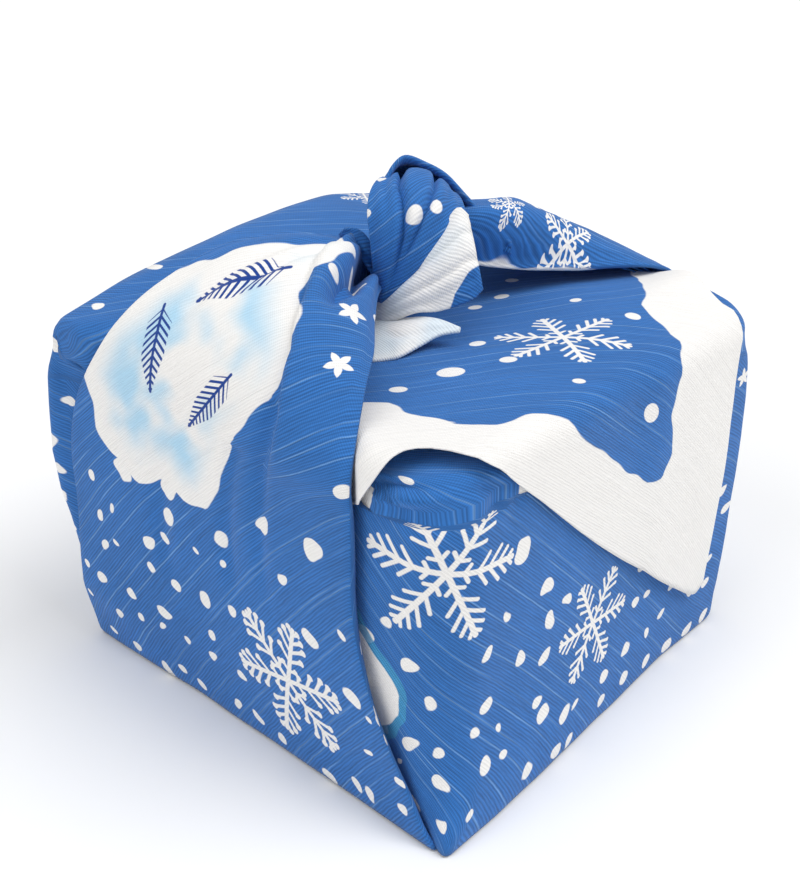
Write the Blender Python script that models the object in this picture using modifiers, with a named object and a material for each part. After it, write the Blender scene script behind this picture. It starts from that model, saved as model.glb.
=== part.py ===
"""A square wrapping cloth folded and knotted round a plain box.

The cloth is one sheet. It lies under the box, goes up the four sides with a
back-and-forth fold beside each upright edge, crosses the top as a first corner
and a flap, and its other two corners rise as ties to one knot with two free ends.
Metres, +Z up, origin on the floor under the middle of the box.
The near face is -Y, and the two tied faces are -X and +X.
"""

from collections import namedtuple

import bpy
import numpy as np

MM = 0.001

# Sizes of the wrapped box, outside of the cloth, in mm
WIDTH = 165.4
DEPTH = 167.6
HEIGHT = 125.0
CLOTH = 1.2  # thickness of the sheet
PITCH = 2.3  # from one layer to the next
HALF_W = WIDTH / 2
HALF_D = DEPTH / 2
OUTER_X = HALF_W - CLOTH / 2  # middle of the panel layer on a tied face
INNER_X = OUTER_X - 2 * PITCH  # middle of the layer against the box
OUTER_Y = HALF_D - CLOTH / 2  # middle of the single layer on the other faces
BOX_GAP = 2.0
BOX_HALF_X = INNER_X - CLOTH / 2 - BOX_GAP
BOX_HALF_Y = OUTER_Y - CLOTH / 2 - BOX_GAP
BOX_BOTTOM = CLOTH + 0.4
BOX_TOP = 114.6
BOX_ROUND = 13.0
ROOT = 0.5  # thickness of a sheet where it starts inside another
SHEET = 1.05  # a sheet that grows out of the sides, a little thinner so it starts inside them
WALL_FOOT = 0.5
FOOT_ROUND = 3.0

# Folds beside the upright edges of a tied face, by height up the wall.
# near, far: from the upright edge to the panel's fold edge; deep: how far the hidden fold goes on.
Fold = namedtuple("Fold", "z near near_deep far far_deep corner")
FOLDS = (
    Fold(0.5, 2.0, 4.5, 4.0, 4.5, 3),
    Fold(4.0, 3.0, 6, 3.5, 6, 4),
    Fold(28.0, 17.5, 24, 1.5, 26, 7),
    Fold(48.0, 25.0, 36, 1.5, 40, 9),
    Fold(70.0, 29.5, 44, 2.5, 46, 11),
    Fold(88.0, 32.0, 46, 6.5, 46, 12),
    Fold(104.0, 32.5, 46, 14.0, 43, 12),
)
WALL_TOP = FOLDS[-1].z

# How high each part of the wall's rim stands
RIM_PANEL = 104.5
RIM_NEAR_DEEP = 111.0
RIM_FAR_DEEP = 109.0
RIM_CORNER = 118.0
RIM_SINGLE = 116.0

# Outward swelling of the soft upright edges, by height
Swell = namedtuple("Swell", "z panel edge right")
SWELLS = (
    Swell(0, 0.0, 0.0, 0.0),
    Swell(12, 2.5, 0.3, 0.2),
    Swell(24, 4.5, 0.8, 0.6),
    Swell(36, 4.8, 2.0, 1.3),
    Swell(58, 2.6, 4.4, 3.0),
    Swell(75, 1.2, 5.0, 4.2),
    Swell(92, 0.4, 4.2, 3.4),
    Swell(110, 0.0, 1.8, 1.0),
    Swell(130, 0.0, 0.0, 0.0),
)

# How much the cloth over the top stands above the flat, at the crossings of x and y
PUFF_X = (-80, -40, 0, 40, 78)
Puff = namedtuple("Puff", "y at_xm80 at_xm40 at_x0 at_x40 at_x78")
PUFFS = (
    Puff(-84, 0.0, 0.3, 0.6, 0.6, 0.0),
    Puff(-73, 0.0, 0.6, 1.8, 3.0, 5.0),
    Puff(-62, 0.0, 1.0, 3.2, 6.5, 10.5),
    Puff(-48, 0.0, 0.8, 3.0, 6.5, 7.0),
    Puff(-30, 0.0, 0.5, 2.2, 5.5, 4.5),
    Puff(5, 0.0, 0.5, 1.5, 5.0, 3.5),
    Puff(40, 1.0, 3.0, 5.0, 8.0, 4.0),
    Puff(82, 2.0, 6.0, 9.0, 11.0, 6.0),
)
FIRST_Z = 120.5  # middle of the first corner over the box top
FLAP_Z = 125.7  # middle of the flap
BEND = 7.0
CORNER = 12.0  # round of the upright edges at the top

# Lower edge of the flap, left to right: negative run is still on the top, before the near edge
Hem = namedtuple("Hem", "x run")
HEMS = (
    Hem(-91.0, -32.0),
    Hem(-79.0, -24.5),
    Hem(-73.0, -19.0),
    Hem(-68.0, -13.0),
    Hem(-62.0, 2.0),
    Hem(-50.0, 14.0),
    Hem(-30.0, 33.0),
    Hem(-5.0, 55.0),
    Hem(25.0, 78.0),
    Hem(50.0, 97.0),
    Hem(62.0, 104.0),
    Hem(69.0, 103.0),
    Hem(73.0, 88.0),
)
FLAP_RIGHT = 75.0
FLAP_UNDER = 34.0  # width of the strip folded under along its right side

# A tie: its near and far edges from the wall to the knot, with the arch between them
Tie = namedtuple("Tie", "near_x near_y near_z far_x far_y far_z arch lean under")
LEFT_TIE = (
    Tie(-OUTER_X, -50.0, 96, -OUTER_X, 69.5, 96, 0.0, 0.5, 8),
    Tie(-OUTER_X, -50.4, 106, -OUTER_X, 66.0, 107, 0.0, 0.5, 8),
    Tie(-82.5, -51.0, 115, -82.0, 61.0, 118, 0.8, 0.5, 8),
    Tie(-81.2, -51.5, 127, -76.0, 53.5, 132, 2.0, 0.5, 9),
    Tie(-70.0, -45.5, 139, -61.0, 44.0, 146, 4.0, 0.5, 10),
    Tie(-50.0, -30.5, 142, -42.0, 31.5, 153, 6.0, 0.5, 9),
    Tie(-31.0, -11.5, 141, -27.0, 21.5, 153.5, 6.0, 0.5, 7),
    Tie(-17.0, -2.5, 140, -14.0, 14.0, 150, 3.0, 0.5, 5),
    Tie(-4.0, 0.0, 142, -3.0, 9.0, 148, 1.5, 0.5, 3),
)
RIGHT_TIE = (
    Tie(OUTER_X, 50.0, 96, OUTER_X, -69.5, 96, 0.0, 0.5, 8),
    Tie(OUTER_X, 50.4, 106, OUTER_X, -66.0, 107, 0.0, 0.5, 8),
    Tie(82.4, 50.8, 114, 82.4, -60.0, 119, 0.8, 0.6, 8),
    Tie(77.5, 48.0, 126, 79.0, -51.5, 134, 3.0, 0.65, 6),
    Tie(62.0, 41.0, 142, 66.0, -46.5, 139.0, 9.0, 0.72, 5),
    Tie(42.0, 27.0, 152, 43.0, -31.5, 140.0, 15.0, 0.78, 5),
    Tie(25.0, 14.0, 158, 25.0, -19.5, 144.0, 14.0, 0.76, 5),
    Tie(13.0, 7.0, 158, 14.0, -12.0, 149.0, 9.0, 0.7, 5),
    Tie(2.0, 8.0, 156, 2.0, -1.0, 148, 4.0, 0.5, 3),
)

# The knot, in its own directions: side to side, up, and toward the near corner
KNOT_SIDE = np.array([0.671, -0.741, 0.0])
KNOT_FRONT = np.array([-0.741, -0.671, 0.0])
Band = namedtuple("Band", "l_side l_up l_front r_side r_up r_front arch pleat")
FRONT_BAND = (
    Band(-11.0, 131.5, 11.0, -7.5, 129.6, 13.0, 0.6, 0.3),
    Band(-12.0, 139.5, 14.0, -4.0, 134.5, 17.0, 1.6, 1.0),
    Band(-12.5, 149.0, 15.0, 3.0, 145.0, 19.0, 2.6, 1.9),
    Band(-13.0, 159.5, 14.0, 10.0, 155.0, 18.0, 3.6, 2.6),
    Band(-13.3, 167.0, 9.0, 15.8, 162.0, 12.5, 4.4, 2.8),
    Band(-11.5, 171.0, 3.0, 15.3, 165.0, 5.0, 4.6, 2.4),
    Band(-8.5, 170.0, -4.5, 12.5, 165.0, -4.0, 4.2, 1.6),
    Band(-6.5, 160.0, -9.0, 9.0, 156.0, -9.0, 3.0, 1.0),
    Band(-5.0, 149.0, -9.0, 7.0, 147.0, -9.0, 2.0, 0.6),
)
REAR_BAND = (
    Band(12.0, 140.0, -9.0, 4.0, 136.0, -12.0, 1.0, 0.6),
    Band(13.0, 149.0, -13.0, -2.0, 145.0, -15.0, 2.2, 1.4),
    Band(12.0, 158.0, -14.0, -7.0, 155.0, -14.0, 3.0, 1.8),
    Band(8.0, 164.0, -11.0, -10.0, 163.0, -9.0, 3.2, 1.8),
    Band(5.0, 163.0, -3.0, -9.0, 163.0, -1.0, 2.6, 1.2),
    Band(5.0, 154.0, 4.0, -8.0, 152.0, 6.0, 1.6, 0.8),
)
BACK_BAND = (
    Band(27.0, 148.0, -7.0, 27.0, 165.0, -5.0, 2.0, 0.5),
    Band(18.0, 150.0, -9.0, 18.5, 166.5, -9.0, 2.6, 0.8),
    Band(11.0, 154.0, -15.0, 12.5, 168.5, -14.0, 3.2, 1.0),
    Band(4.0, 156.0, -18.0, 4.5, 173.5, -15.0, 3.6, 1.0),
    Band(-3.5, 157.0, -16.0, -3.5, 174.0, -10.5, 3.4, 0.8),
    Band(-7.0, 156.0, -9.0, -6.5, 170.0, -5.0, 2.4, 0.5),
)
FRONT_END = (
    Band(-10.0, 137.0, 11.0, -10.5, 130.5, 17.0, 0.5, 0.3),
    Band(-3.5, 144.0, 14.0, -3.6, 133.5, 22.5, 1.4, 0.6),
    Band(5.0, 152.5, 15.0, 5.6, 138.5, 26.0, 2.4, 0.8),
    Band(12.0, 159.5, 14.5, 13.3, 141.5, 27.5, 3.0, 0.8),
    Band(16.8, 163.5, 13.5, 18.0, 145.5, 27.5, 2.6, 0.6),
    Band(19.5, 163.0, 14.0, 21.6, 151.5, 25.0, 1.4, 0.3),
)
LOW_END = (
    Band(-11.0, 134.5, 16.0, -11.5, 129.0, 22.0, 0.4, 0.0),
    Band(-7.0, 135.5, 19.0, -9.8, 127.0, 33.0, 1.0, 0.3),
    Band(-0.5, 136.0, 22.0, -2.5, 129.5, 36.0, 1.4, 0.3),
    Band(5.6, 135.6, 26.5, 5.0, 131.5, 36.0, 1.2, 0.2),
    Band(11.5, 134.2, 32.0, 11.8, 132.8, 34.5, 0.4, 0.0),
)


def collection_of(name, helper=False):
    """A collection in the scene; a helper one holds shapes joined into others."""
    made = bpy.data.collections.new(name)
    bpy.context.scene.collection.children.link(made)
    made.hide_render = helper
    return made


def material_of(name, colour, roughness):
    made = bpy.data.materials.new(name)
    made.use_nodes = True
    shader = made.node_tree.nodes["Principled BSDF"]
    shader.inputs["Base Color"].default_value = (*colour, 1.0)
    shader.inputs["Roughness"].default_value = roughness
    shader.inputs["Metallic"].default_value = 0.0
    return made


def column(rows, name):
    return np.array([getattr(row, name) for row in rows], float)


def smooth(at, keys, values):
    """Catmull-Rom through the rows of a table, without overshoot past its ends."""
    at = np.clip(np.asarray(at, float), keys[0], keys[-1])
    k = np.clip(np.searchsorted(keys, at, side="right") - 1, 0, len(keys) - 2)
    values = np.asarray(values, float)
    slope = np.gradient(values, keys, axis=0)
    span = (keys[k + 1] - keys[k]).reshape(-1, *[1] * (values.ndim - 1))
    t = ((at - keys[k]) / (keys[k + 1] - keys[k])).reshape(span.shape)
    h00 = 2 * t**3 - 3 * t**2 + 1
    h10 = t**3 - 2 * t**2 + t
    h01 = 3 * t**2 - 2 * t**3
    h11 = t**3 - t**2
    return h00 * values[k] + h10 * span * slope[k] + h01 * values[k + 1] + h11 * span * slope[k + 1]


def ease(value, low, high):
    """0 below low, 1 above high, soft between."""
    t = np.clip((np.asarray(value, float) - low) / (high - low), 0, 1)
    return t * t * (3 - 2 * t)


def swelling(points):
    """Moves the soft upright edges outward; every layer moves alike, so none meet."""
    moved = points.copy()
    x, y, z = points[..., 0], points[..., 1], points[..., 2]
    keys = column(SWELLS, "z")
    panel = np.interp(z, keys, column(SWELLS, "panel"))
    edge = np.interp(z, keys, column(SWELLS, "edge"))
    right = np.interp(z, keys, column(SWELLS, "right"))
    left_face = ease(-x, 60, HALF_W - 6)
    right_face = ease(x, 60, HALF_W - 6)
    far = ease(y, HALF_D - 20, HALF_D - 2)
    nearside = ease(-y, HALF_D - 24, HALF_D - 2)
    moved[..., 0] -= left_face * (panel * ease(y, 10, HALF_D - 8) + edge * far)
    moved[..., 0] += right_face * (panel * ease(-y, 10, HALF_D - 8) * 0.5 + right * nearside + 3 * edge / 5 * far)
    moved[..., 1] += ease(y, 70, HALF_D - 3) * edge * (left_face + 0.6 * right_face)
    foot = np.clip((FOOT_ROUND - z) / FOOT_ROUND, 0, 0.85)
    tuck = FOOT_ROUND * (1 - np.sqrt(1 - foot**2))
    moved[..., 0] -= tuck * np.sign(x) * ease(np.abs(x), HALF_W - 25, HALF_W - 8)
    moved[..., 1] -= tuck * np.sign(y) * ease(np.abs(y), HALF_D - 25, HALF_D - 6)
    return moved


def round_corner(points, sign_x, sign_y, radius):
    """Bends the square corner of a sheet to the round of the upright edge under it."""
    moved = points.copy()
    centre = np.array([sign_x * (INNER_X - CORNER), sign_y * (OUTER_Y - CORNER)])
    out = (points[..., :2] - centre) * [sign_x, sign_y]
    inside = (out > 0).all(axis=-1)
    dx, dy = np.maximum(out[..., 0], 1e-6), np.maximum(out[..., 1], 1e-6)
    angle = np.where(dy < dx, np.pi / 4 * dy / dx, np.pi / 2 - np.pi / 4 * dx / dy)
    reach = np.maximum(dx, dy)
    share = ease(reach, 0, radius)
    round_x = dx * (1 - share) + reach * np.cos(angle) * share
    round_y = dy * (1 - share) + reach * np.sin(angle) * share
    moved[..., 0] = np.where(inside, centre[0] + sign_x * round_x, points[..., 0])
    moved[..., 1] = np.where(inside, centre[1] + sign_y * round_y, points[..., 1])
    return moved


def rounded(corners, parts):
    """A path through the corners, each (x, y, rim, radius, arc parts, straight parts before it)."""
    out = []
    for i, (x, y, rim, radius, arc, before) in enumerate(corners):
        here = np.array([x, y])
        last = np.array(corners[i - 1][:2])
        nxt = np.array(corners[(i + 1) % len(corners)][:2])
        into = (here - last) / np.linalg.norm(here - last)
        away = (nxt - here) / np.linalg.norm(nxt - here)
        start = here - into * radius
        end = here + away * radius
        if out:
            previous, lift = out[-1][:2], out[-1][2]
            for k in range(1, before):
                f = k / before
                point = np.array(previous) * (1 - f) + start * f
                out.append((*point, lift * (1 - f) + rim * f))
        centre = start + away * radius
        for k in range(arc + 1):
            angle = k / arc * np.pi / 2
            point = centre - away * radius * np.cos(angle) + into * radius * np.sin(angle)
            if not out or np.linalg.norm(point - out[-1][:2]) > 0.01:
                out.append((*point, rim))
    first = out[0]
    last = out[-1]
    for k in range(1, parts):
        f = k / parts
        out.append(tuple(np.array(last) * (1 - f) + np.array(first) * f))
    return out


def wall_ring(fold):
    """One closed back-and-forth path round the box at the height of a fold row."""
    turn = PITCH / 2
    mid_x = OUTER_X - PITCH
    near_in = -HALF_D + fold.near
    near_deep = near_in + fold.near_deep
    far_in = HALF_D - fold.far
    far_deep = far_in - fold.far_deep
    one_face = (
        (-INNER_X, -OUTER_Y, RIM_CORNER, fold.corner, 3, 4),
        (-INNER_X, near_deep, RIM_NEAR_DEEP, turn, 1, 3),
        (-mid_x, near_deep, RIM_NEAR_DEEP, turn, 1, 1),
        (-mid_x, near_in, RIM_PANEL, turn, 2, 2),
        (-OUTER_X, near_in, RIM_PANEL, turn, 2, 1),
        (-OUTER_X, far_in, RIM_PANEL, turn, 2, 5),
        (-mid_x, far_in, RIM_PANEL, turn, 2, 1),
        (-mid_x, far_deep, RIM_FAR_DEEP, turn, 1, 3),
        (-INNER_X, far_deep, RIM_FAR_DEEP, turn, 1, 1),
        (-INNER_X, OUTER_Y, RIM_SINGLE, fold.corner, 3, 3),
    )
    turned = tuple((-x, -y, *rest) for x, y, *rest in one_face)
    return np.array(rounded(one_face + turned, 4))


def thick(grid, closed, thickness):
    """Vertices and faces of a solid sheet about a grid of middle points."""
    rows, cols, _ = grid.shape
    along = np.gradient(grid, axis=0)
    if closed:
        across = (np.roll(grid, -1, axis=1) - np.roll(grid, 1, axis=1)) / 2
    else:
        across = np.gradient(grid, axis=1)
    normal = np.cross(across, along)
    normal /= np.linalg.norm(normal, axis=2, keepdims=True)
    half = np.broadcast_to(thickness, (rows, cols))[..., None] / 2
    sides = np.concatenate([grid + normal * half, grid - normal * half])
    points = sides.reshape(-1, 3)
    faces = []

    def at(side, r, c):
        return (side * rows + r) * cols + c % cols

    last = cols if closed else cols - 1
    for r in range(rows - 1):
        for c in range(last):
            faces.append((at(0, r, c), at(0, r, c + 1), at(0, r + 1, c + 1), at(0, r + 1, c)))
            faces.append((at(1, r, c), at(1, r + 1, c), at(1, r + 1, c + 1), at(1, r, c + 1)))
    for c in range(last):
        faces.append((at(0, 0, c), at(1, 0, c), at(1, 0, c + 1), at(0, 0, c + 1)))
        faces.append((at(0, rows - 1, c), at(0, rows - 1, c + 1), at(1, rows - 1, c + 1), at(1, rows - 1, c)))
    if not closed:
        for r in range(rows - 1):
            faces.append((at(0, r, 0), at(0, r + 1, 0), at(1, r + 1, 0), at(1, r, 0)))
            faces.append((at(0, r, cols - 1), at(1, r, cols - 1), at(1, r + 1, cols - 1), at(0, r + 1, cols - 1)))
    return points, faces


def solid_object(name, points, faces, home):
    """A mesh object of these millimetre points, facing outward."""
    mesh = bpy.data.meshes.new(name)
    mesh.from_pydata((points * MM).tolist(), [], faces)
    mesh.update()
    turned = np.zeros(3)
    volume = 0.0
    for face in faces:
        a = points[face[0]]
        for k in range(1, len(face) - 1):
            turned = np.cross(points[face[k]] - a, points[face[k + 1]] - a)
            volume += turned @ (a - points[0]) / 6
    if volume < 0:
        mesh.flip_normals()
    made = bpy.data.objects.new(name, mesh)
    home.objects.link(made)
    return made


def sheet_object(name, grid, home, closed=False, thickness=CLOTH, roots=0, side_root=False):
    """A solid sheet; its root rows or first column, which lie inside another sheet, are thin."""
    depth = np.full(grid.shape[:2], float(thickness))
    depth[:roots] = ROOT
    if side_root:
        depth[:, 0] = ROOT
    return solid_object(name, *thick(grid, closed, depth), home)


def wall_grid():
    """The four sides: the ring of every fold row, its top brought to the rim."""
    rings = [wall_ring(fold) for fold in FOLDS]
    grid = []
    for fold, ring in zip(FOLDS, rings):
        share = (fold.z - WALL_FOOT) / (WALL_TOP - WALL_FOOT)
        z = WALL_FOOT + share * (ring[:, 2] - WALL_FOOT)
        grid.append(np.stack([ring[:, 0], ring[:, 1], z], axis=1))
    return swelling(np.array(grid))


def puff(x, y):
    """Height of the soft top above its flat level."""
    x, y = np.asarray(x, float), np.asarray(y, float)
    across = np.array([[row.at_xm80, row.at_xm40, row.at_x0, row.at_x40, row.at_x78] for row in PUFFS])
    table = smooth(y, column(PUFFS, "y"), across)
    return np.array([np.interp(px, PUFF_X, values) for px, values in zip(x, table)])


def first_corner_grid():
    """The first corner: from the near face over the top, folded back on itself."""
    xs = np.array([-76.4, -72, -66, -56, -20, 20, 56, 68, 76.4])
    reach = 70.0
    runs = [-18, -6, 0, 6, 12, 32, 64, 96, 124, 148]
    rows = []
    for run in runs:
        row = []
        for x in xs:
            corner = float(ease(-x, 60, 70)) + float(ease(x, 62, 72))
            start_y = -OUTER_Y + 1.6 * corner
            if run < 0:
                row.append((x, start_y, FIRST_Z - BEND + run))
            elif run < 12:
                angle = run / 12 * np.pi / 2
                row.append((x, start_y + BEND * (1 - np.cos(angle)), FIRST_Z - BEND * (1 - np.sin(angle))))
            else:
                row.append((x, min(start_y + BEND + run - 12, reach), FIRST_Z))
        rows.append(row)
    for k in (1, 2, 3):
        turn = k / 3 * np.pi
        row = [(x, reach + PITCH / 2 * np.sin(turn), FIRST_Z + PITCH / 2 * (1 - np.cos(turn))) for x in xs]
        rows.append(row)
    for share, y in ((0.88, 60.0), (0.6, 36.0), (0.3, -10.0)):
        rows.append([(x * share, y, FIRST_Z + PITCH) for x in xs])
    grid = np.array(rows)
    lift = 0.55 * puff(grid[..., 0].ravel(), grid[..., 1].ravel()).reshape(grid.shape[:2])
    grid[..., 2] += lift * ease(grid[..., 2], FIRST_Z - BEND, FIRST_Z)
    border = ease(-grid[..., 0], 60, 78) * ease(grid[..., 2], 110, FIRST_Z)
    grid[..., 2] -= 4.5 * border**2
    border = ease(grid[..., 0], 66, 78) * ease(grid[..., 2], 110, FIRST_Z)
    grid[..., 2] -= 4.5 * border**2
    grid = round_corner(round_corner(grid, -1, -1, 9), 1, -1, 9)
    return swelling(grid)


def flap_point(x, run, layer):
    """A point of the flap. Run is measured from the near top edge, down when positive;
    layer 1 is the flap itself and 0 the strip folded under it."""
    near = -HALF_D - CLOTH / 2 - 0.8 - PITCH * layer * float(ease(x, 5, 25))
    x -= 4.5 * float(ease(-run, 22, 60)) * float(ease(x, 30, 70))
    y_top = float(np.clip(-HALF_D - run, -84, 82))
    over = FLAP_Z + float(puff([np.clip(x, -80, 78)], [y_top])[0]) - PITCH * (1 - layer)
    far_run = run + 2 * HALF_D
    if run > 4:
        y, z = near, over - BEND - (run - 4)
    elif run > -BEND:
        angle = (run + BEND) / (BEND + 4) * np.pi / 2
        y = near + BEND - BEND * np.sin(angle)
        z = over - BEND * (1 - np.cos(angle))
    elif far_run > BEND + 5:
        y, z = -HALF_D - run - 0.6, over
    elif far_run > 0:
        angle = (BEND + 5 - far_run) / (BEND + 5) * np.pi / 2
        y = OUTER_Y - BEND + BEND * np.sin(angle)
        z = over - BEND * (1 - np.cos(angle))
    else:
        y, z = OUTER_Y, over - BEND + far_run
    side = max(-x - 72, 0.0)
    if side > 0:
        far = float(ease(y, 30, 50))
        reach = 7.0 * (1 - far) + (INNER_X - 72) * far
        bend = min(side / 9, 1) * np.pi / 2
        x = -72 - reach * np.sin(bend)
        z -= reach * (1 - np.cos(bend)) + max(side - 9, 0) * (1 + 3.5 * far)
    return x, y, z


def flap_runs(hem):
    """Where the rows of one column of the flap lie, from the far face to its hem."""
    far = -2 * HALF_D
    lead = [far - 16, far - 7, far, far + 6, far + 12]
    body = [far + 45, far + 90, -40, -20, -7, -1.5, 4]
    if hem < 8:
        body = [lead[-1] + (run - lead[-1]) * (hem - 4 - lead[-1]) / (4 - lead[-1]) for run in body]
    last = body[-1]
    return lead + body + [last + (hem - last) * share for share in (0.25, 0.5, 0.75, 1.0)]


def flap_grid():
    """The flap: up the far face, over the top, and down the near face to its slanting edge."""
    xs = [-83, -78, -73, -67, -60, -46, -22, 8, 32, 54, 66, 73]
    hems = np.interp(xs, column(HEMS, "x"), column(HEMS, "run"))
    columns = [[flap_point(x, run, 1) for run in flap_runs(hem)] for x, hem in zip(xs, hems)]
    return swelling(round_corner(np.array(columns).transpose(1, 0, 2), -1, 1, 9))


def flap_turn_grid():
    """The right side of the flap, folded under itself."""
    inner = FLAP_RIGHT - FLAP_UNDER
    rows = []
    for run in (-130, -95, -60, -35, -20, -7, -1.5, 4, 30, 55, 80):
        at = [(69.0, 1), (FLAP_RIGHT, 1), (FLAP_RIGHT, 0), (0.5 * (inner + FLAP_RIGHT), 0), (inner, 0)]
        top, edge, under, *rest = (np.array(flap_point(x, run, layer)) for x, layer in at)
        half = (edge - under) / 2
        bulge = np.array([PITCH / 2, 0, 0])
        turn = [under + half + half * np.cos(a) + bulge * np.sin(a) for a in (np.pi / 3, 2 * np.pi / 3)]
        rows.append([top, edge, *turn, under, *rest])
    return swelling(np.array(rows))


def fold_under(main, side, tail):
    """The end of a section turned back beneath it: a round turn, then a strip as long as the tail."""
    half = PITCH / 2
    away = main[0] - main[1]
    away /= np.linalg.norm(away)
    points = []
    for angle in (np.pi / 3, 2 * np.pi / 3):
        points.append(main[0] - side[0] * half * (1 - np.cos(angle)) + away * half * np.sin(angle))
    inner = main[:3] - side[:3] * PITCH
    points.append(inner[0])
    gone = np.linalg.norm(inner[1] - inner[0])
    more = np.linalg.norm(inner[2] - inner[1])
    if tail < gone:
        points.append(inner[0] + (inner[1] - inner[0]) * tail / gone)
    else:
        points.append(inner[1] + (inner[2] - inner[1]) * min((tail - gone) / more, 1))
    return np.array(points)


def tie_grid(rows, steps, cols):
    """A tie: sections from the panel to the knot, each with its edges folded under."""
    keys = np.arange(len(rows), dtype=float)
    at = np.linspace(0, len(rows) - 1, steps)
    near = np.stack([smooth(at, keys, column(rows, f"near_{c}")) for c in "xyz"], axis=1)
    far = np.stack([smooth(at, keys, column(rows, f"far_{c}")) for c in "xyz"], axis=1)
    arch = smooth(at, keys, column(rows, "arch"))
    lean = smooth(at, keys, column(rows, "lean"))
    under = smooth(at, keys, column(rows, "under"))
    path = np.gradient((near + far) / 2, axis=0)
    grid = []
    for i in range(steps):
        chord = far[i] - near[i]
        width = np.linalg.norm(chord)
        chord /= width
        out = np.cross(path[i], chord)
        out /= np.linalg.norm(out)
        out *= np.sign(out @ ((near[i] + far[i]) / 2 - [0, 0, 90]))
        share = np.linspace(0, 1, cols)
        warped = share ** (np.log(0.5) / np.log(lean[i]))
        rise = arch[i] * np.sin(np.pi * warped) ** 0.9
        main = near[i] + np.outer(share, chord) * width + np.outer(rise, out)
        tangent = np.gradient(main, axis=0)
        tangent /= np.linalg.norm(tangent, axis=1, keepdims=True)
        side = out - tangent * (tangent @ out)[:, None]
        side /= np.linalg.norm(side, axis=1, keepdims=True)
        tail = min(under[i], width * 0.3)
        head = fold_under(main, side, tail)[::-1]
        foot = fold_under(main[::-1], side[::-1], tail)
        grid.append(np.concatenate([head, main, foot]))
    return swelling(np.array(grid))


def knot_point(side, up, front):
    return np.outer(side, KNOT_SIDE) + np.outer(front, KNOT_FRONT) + np.outer(up, [0, 0, 1])


def band_grid(rows, steps, cols, pleats):
    """A pleated band of the knot: sections from its left edge to its right edge."""
    keys = np.arange(len(rows), dtype=float)
    at = np.linspace(0, len(rows) - 1, steps)
    edges = []
    for letter in "lr":
        parts = [smooth(at, keys, column(rows, f"{letter}_{c}")) for c in ("side", "up", "front")]
        edges.append(knot_point(*parts))
    arch = smooth(at, keys, column(rows, "arch"))
    pleat = smooth(at, keys, column(rows, "pleat"))
    left, right = edges
    path = np.gradient((left + right) / 2, axis=0)
    share = np.linspace(0, 1, cols)
    grid = []
    for i in range(steps):
        chord = right[i] - left[i]
        out = np.cross(path[i], chord)
        out /= np.linalg.norm(out)
        wave = np.abs(np.sin(pleats * np.pi * share)) ** 0.8
        rise = arch[i] * np.sin(np.pi * share) + pleat[i] * wave
        grid.append(left[i] + np.outer(share, chord) + np.outer(rise, -out))
    return np.array(grid)


def floor_plate(home):
    """The part of the sheet under the box, flat on the floor."""
    x, y = OUTER_X - FOOT_ROUND / 2 + 0.4, OUTER_Y - FOOT_ROUND / 2 + 0.4
    bpy.ops.mesh.primitive_cube_add(size=1, location=(0, 0, CLOTH / 2 * MM))
    plate = bpy.context.object
    plate.name = "floor_plate"
    plate.scale = (2 * x * MM, 2 * y * MM, CLOTH * MM)
    bpy.ops.object.transform_apply(scale=True)
    for held in list(plate.users_collection):
        held.objects.unlink(plate)
    home.objects.link(plate)
    return plate


def box_object(home):
    bpy.ops.mesh.primitive_cube_add(size=1, location=(0, 0, (BOX_TOP + BOX_BOTTOM) / 2 * MM))
    box = bpy.context.object
    box.name = "box"
    box.scale = (2 * BOX_HALF_X * MM, 2 * BOX_HALF_Y * MM, (BOX_TOP - BOX_BOTTOM) * MM)
    bpy.ops.object.transform_apply(scale=True, location=True)
    bevel = box.modifiers.new("soft_edges", "BEVEL")
    bevel.width = 3.0 * MM
    bevel.segments = 3
    upright = box.data.attributes.new("bevel_weight_edge", "FLOAT", "EDGE")
    for edge, weight in zip(box.data.edges, upright.data):
        a, b = (box.data.vertices[v].co for v in edge.vertices)
        weight.value = 1.0 if abs(a.z - b.z) > 0.01 else 0.25
    bevel.limit_method = "WEIGHT"
    bevel.width = BOX_ROUND * MM
    for held in list(box.users_collection):
        held.objects.unlink(box)
    home.objects.link(box)
    return box


def make_folds(home):
    """Every run of the cloth as its own solid sheet, the four sides first."""
    return [
        sheet_object("cloth", wall_grid(), home, closed=True),
        floor_plate(home),
        sheet_object("first_corner", first_corner_grid(), home, thickness=SHEET, roots=3),
        sheet_object("flap", flap_grid(), home, thickness=SHEET, roots=2),
        sheet_object("flap_turn", flap_turn_grid(), home, thickness=1.0, side_root=True),
        sheet_object("left_tie", tie_grid(LEFT_TIE, 11, 7), home, thickness=SHEET, roots=2),
        sheet_object("right_tie", tie_grid(RIGHT_TIE, 11, 7), home, thickness=SHEET, roots=2),
        sheet_object("front_band", band_grid(FRONT_BAND, 13, 13, 3), home),
        sheet_object("rear_band", band_grid(REAR_BAND, 8, 9, 2), home),
        sheet_object("back_band", band_grid(BACK_BAND, 7, 7, 2), home),
        sheet_object("front_end", band_grid(FRONT_END, 8, 7, 2), home),
        sheet_object("low_end", band_grid(LOW_END, 7, 5, 1), home),
    ]


def join_into(target, others):
    for other in others:
        union = target.modifiers.new(f"with_{other.name}", "BOOLEAN")
        union.operation = "UNION"
        union.solver = "EXACT"
        union.object = other
        other.display_type = "WIRE"
        other.hide_render = True


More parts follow.
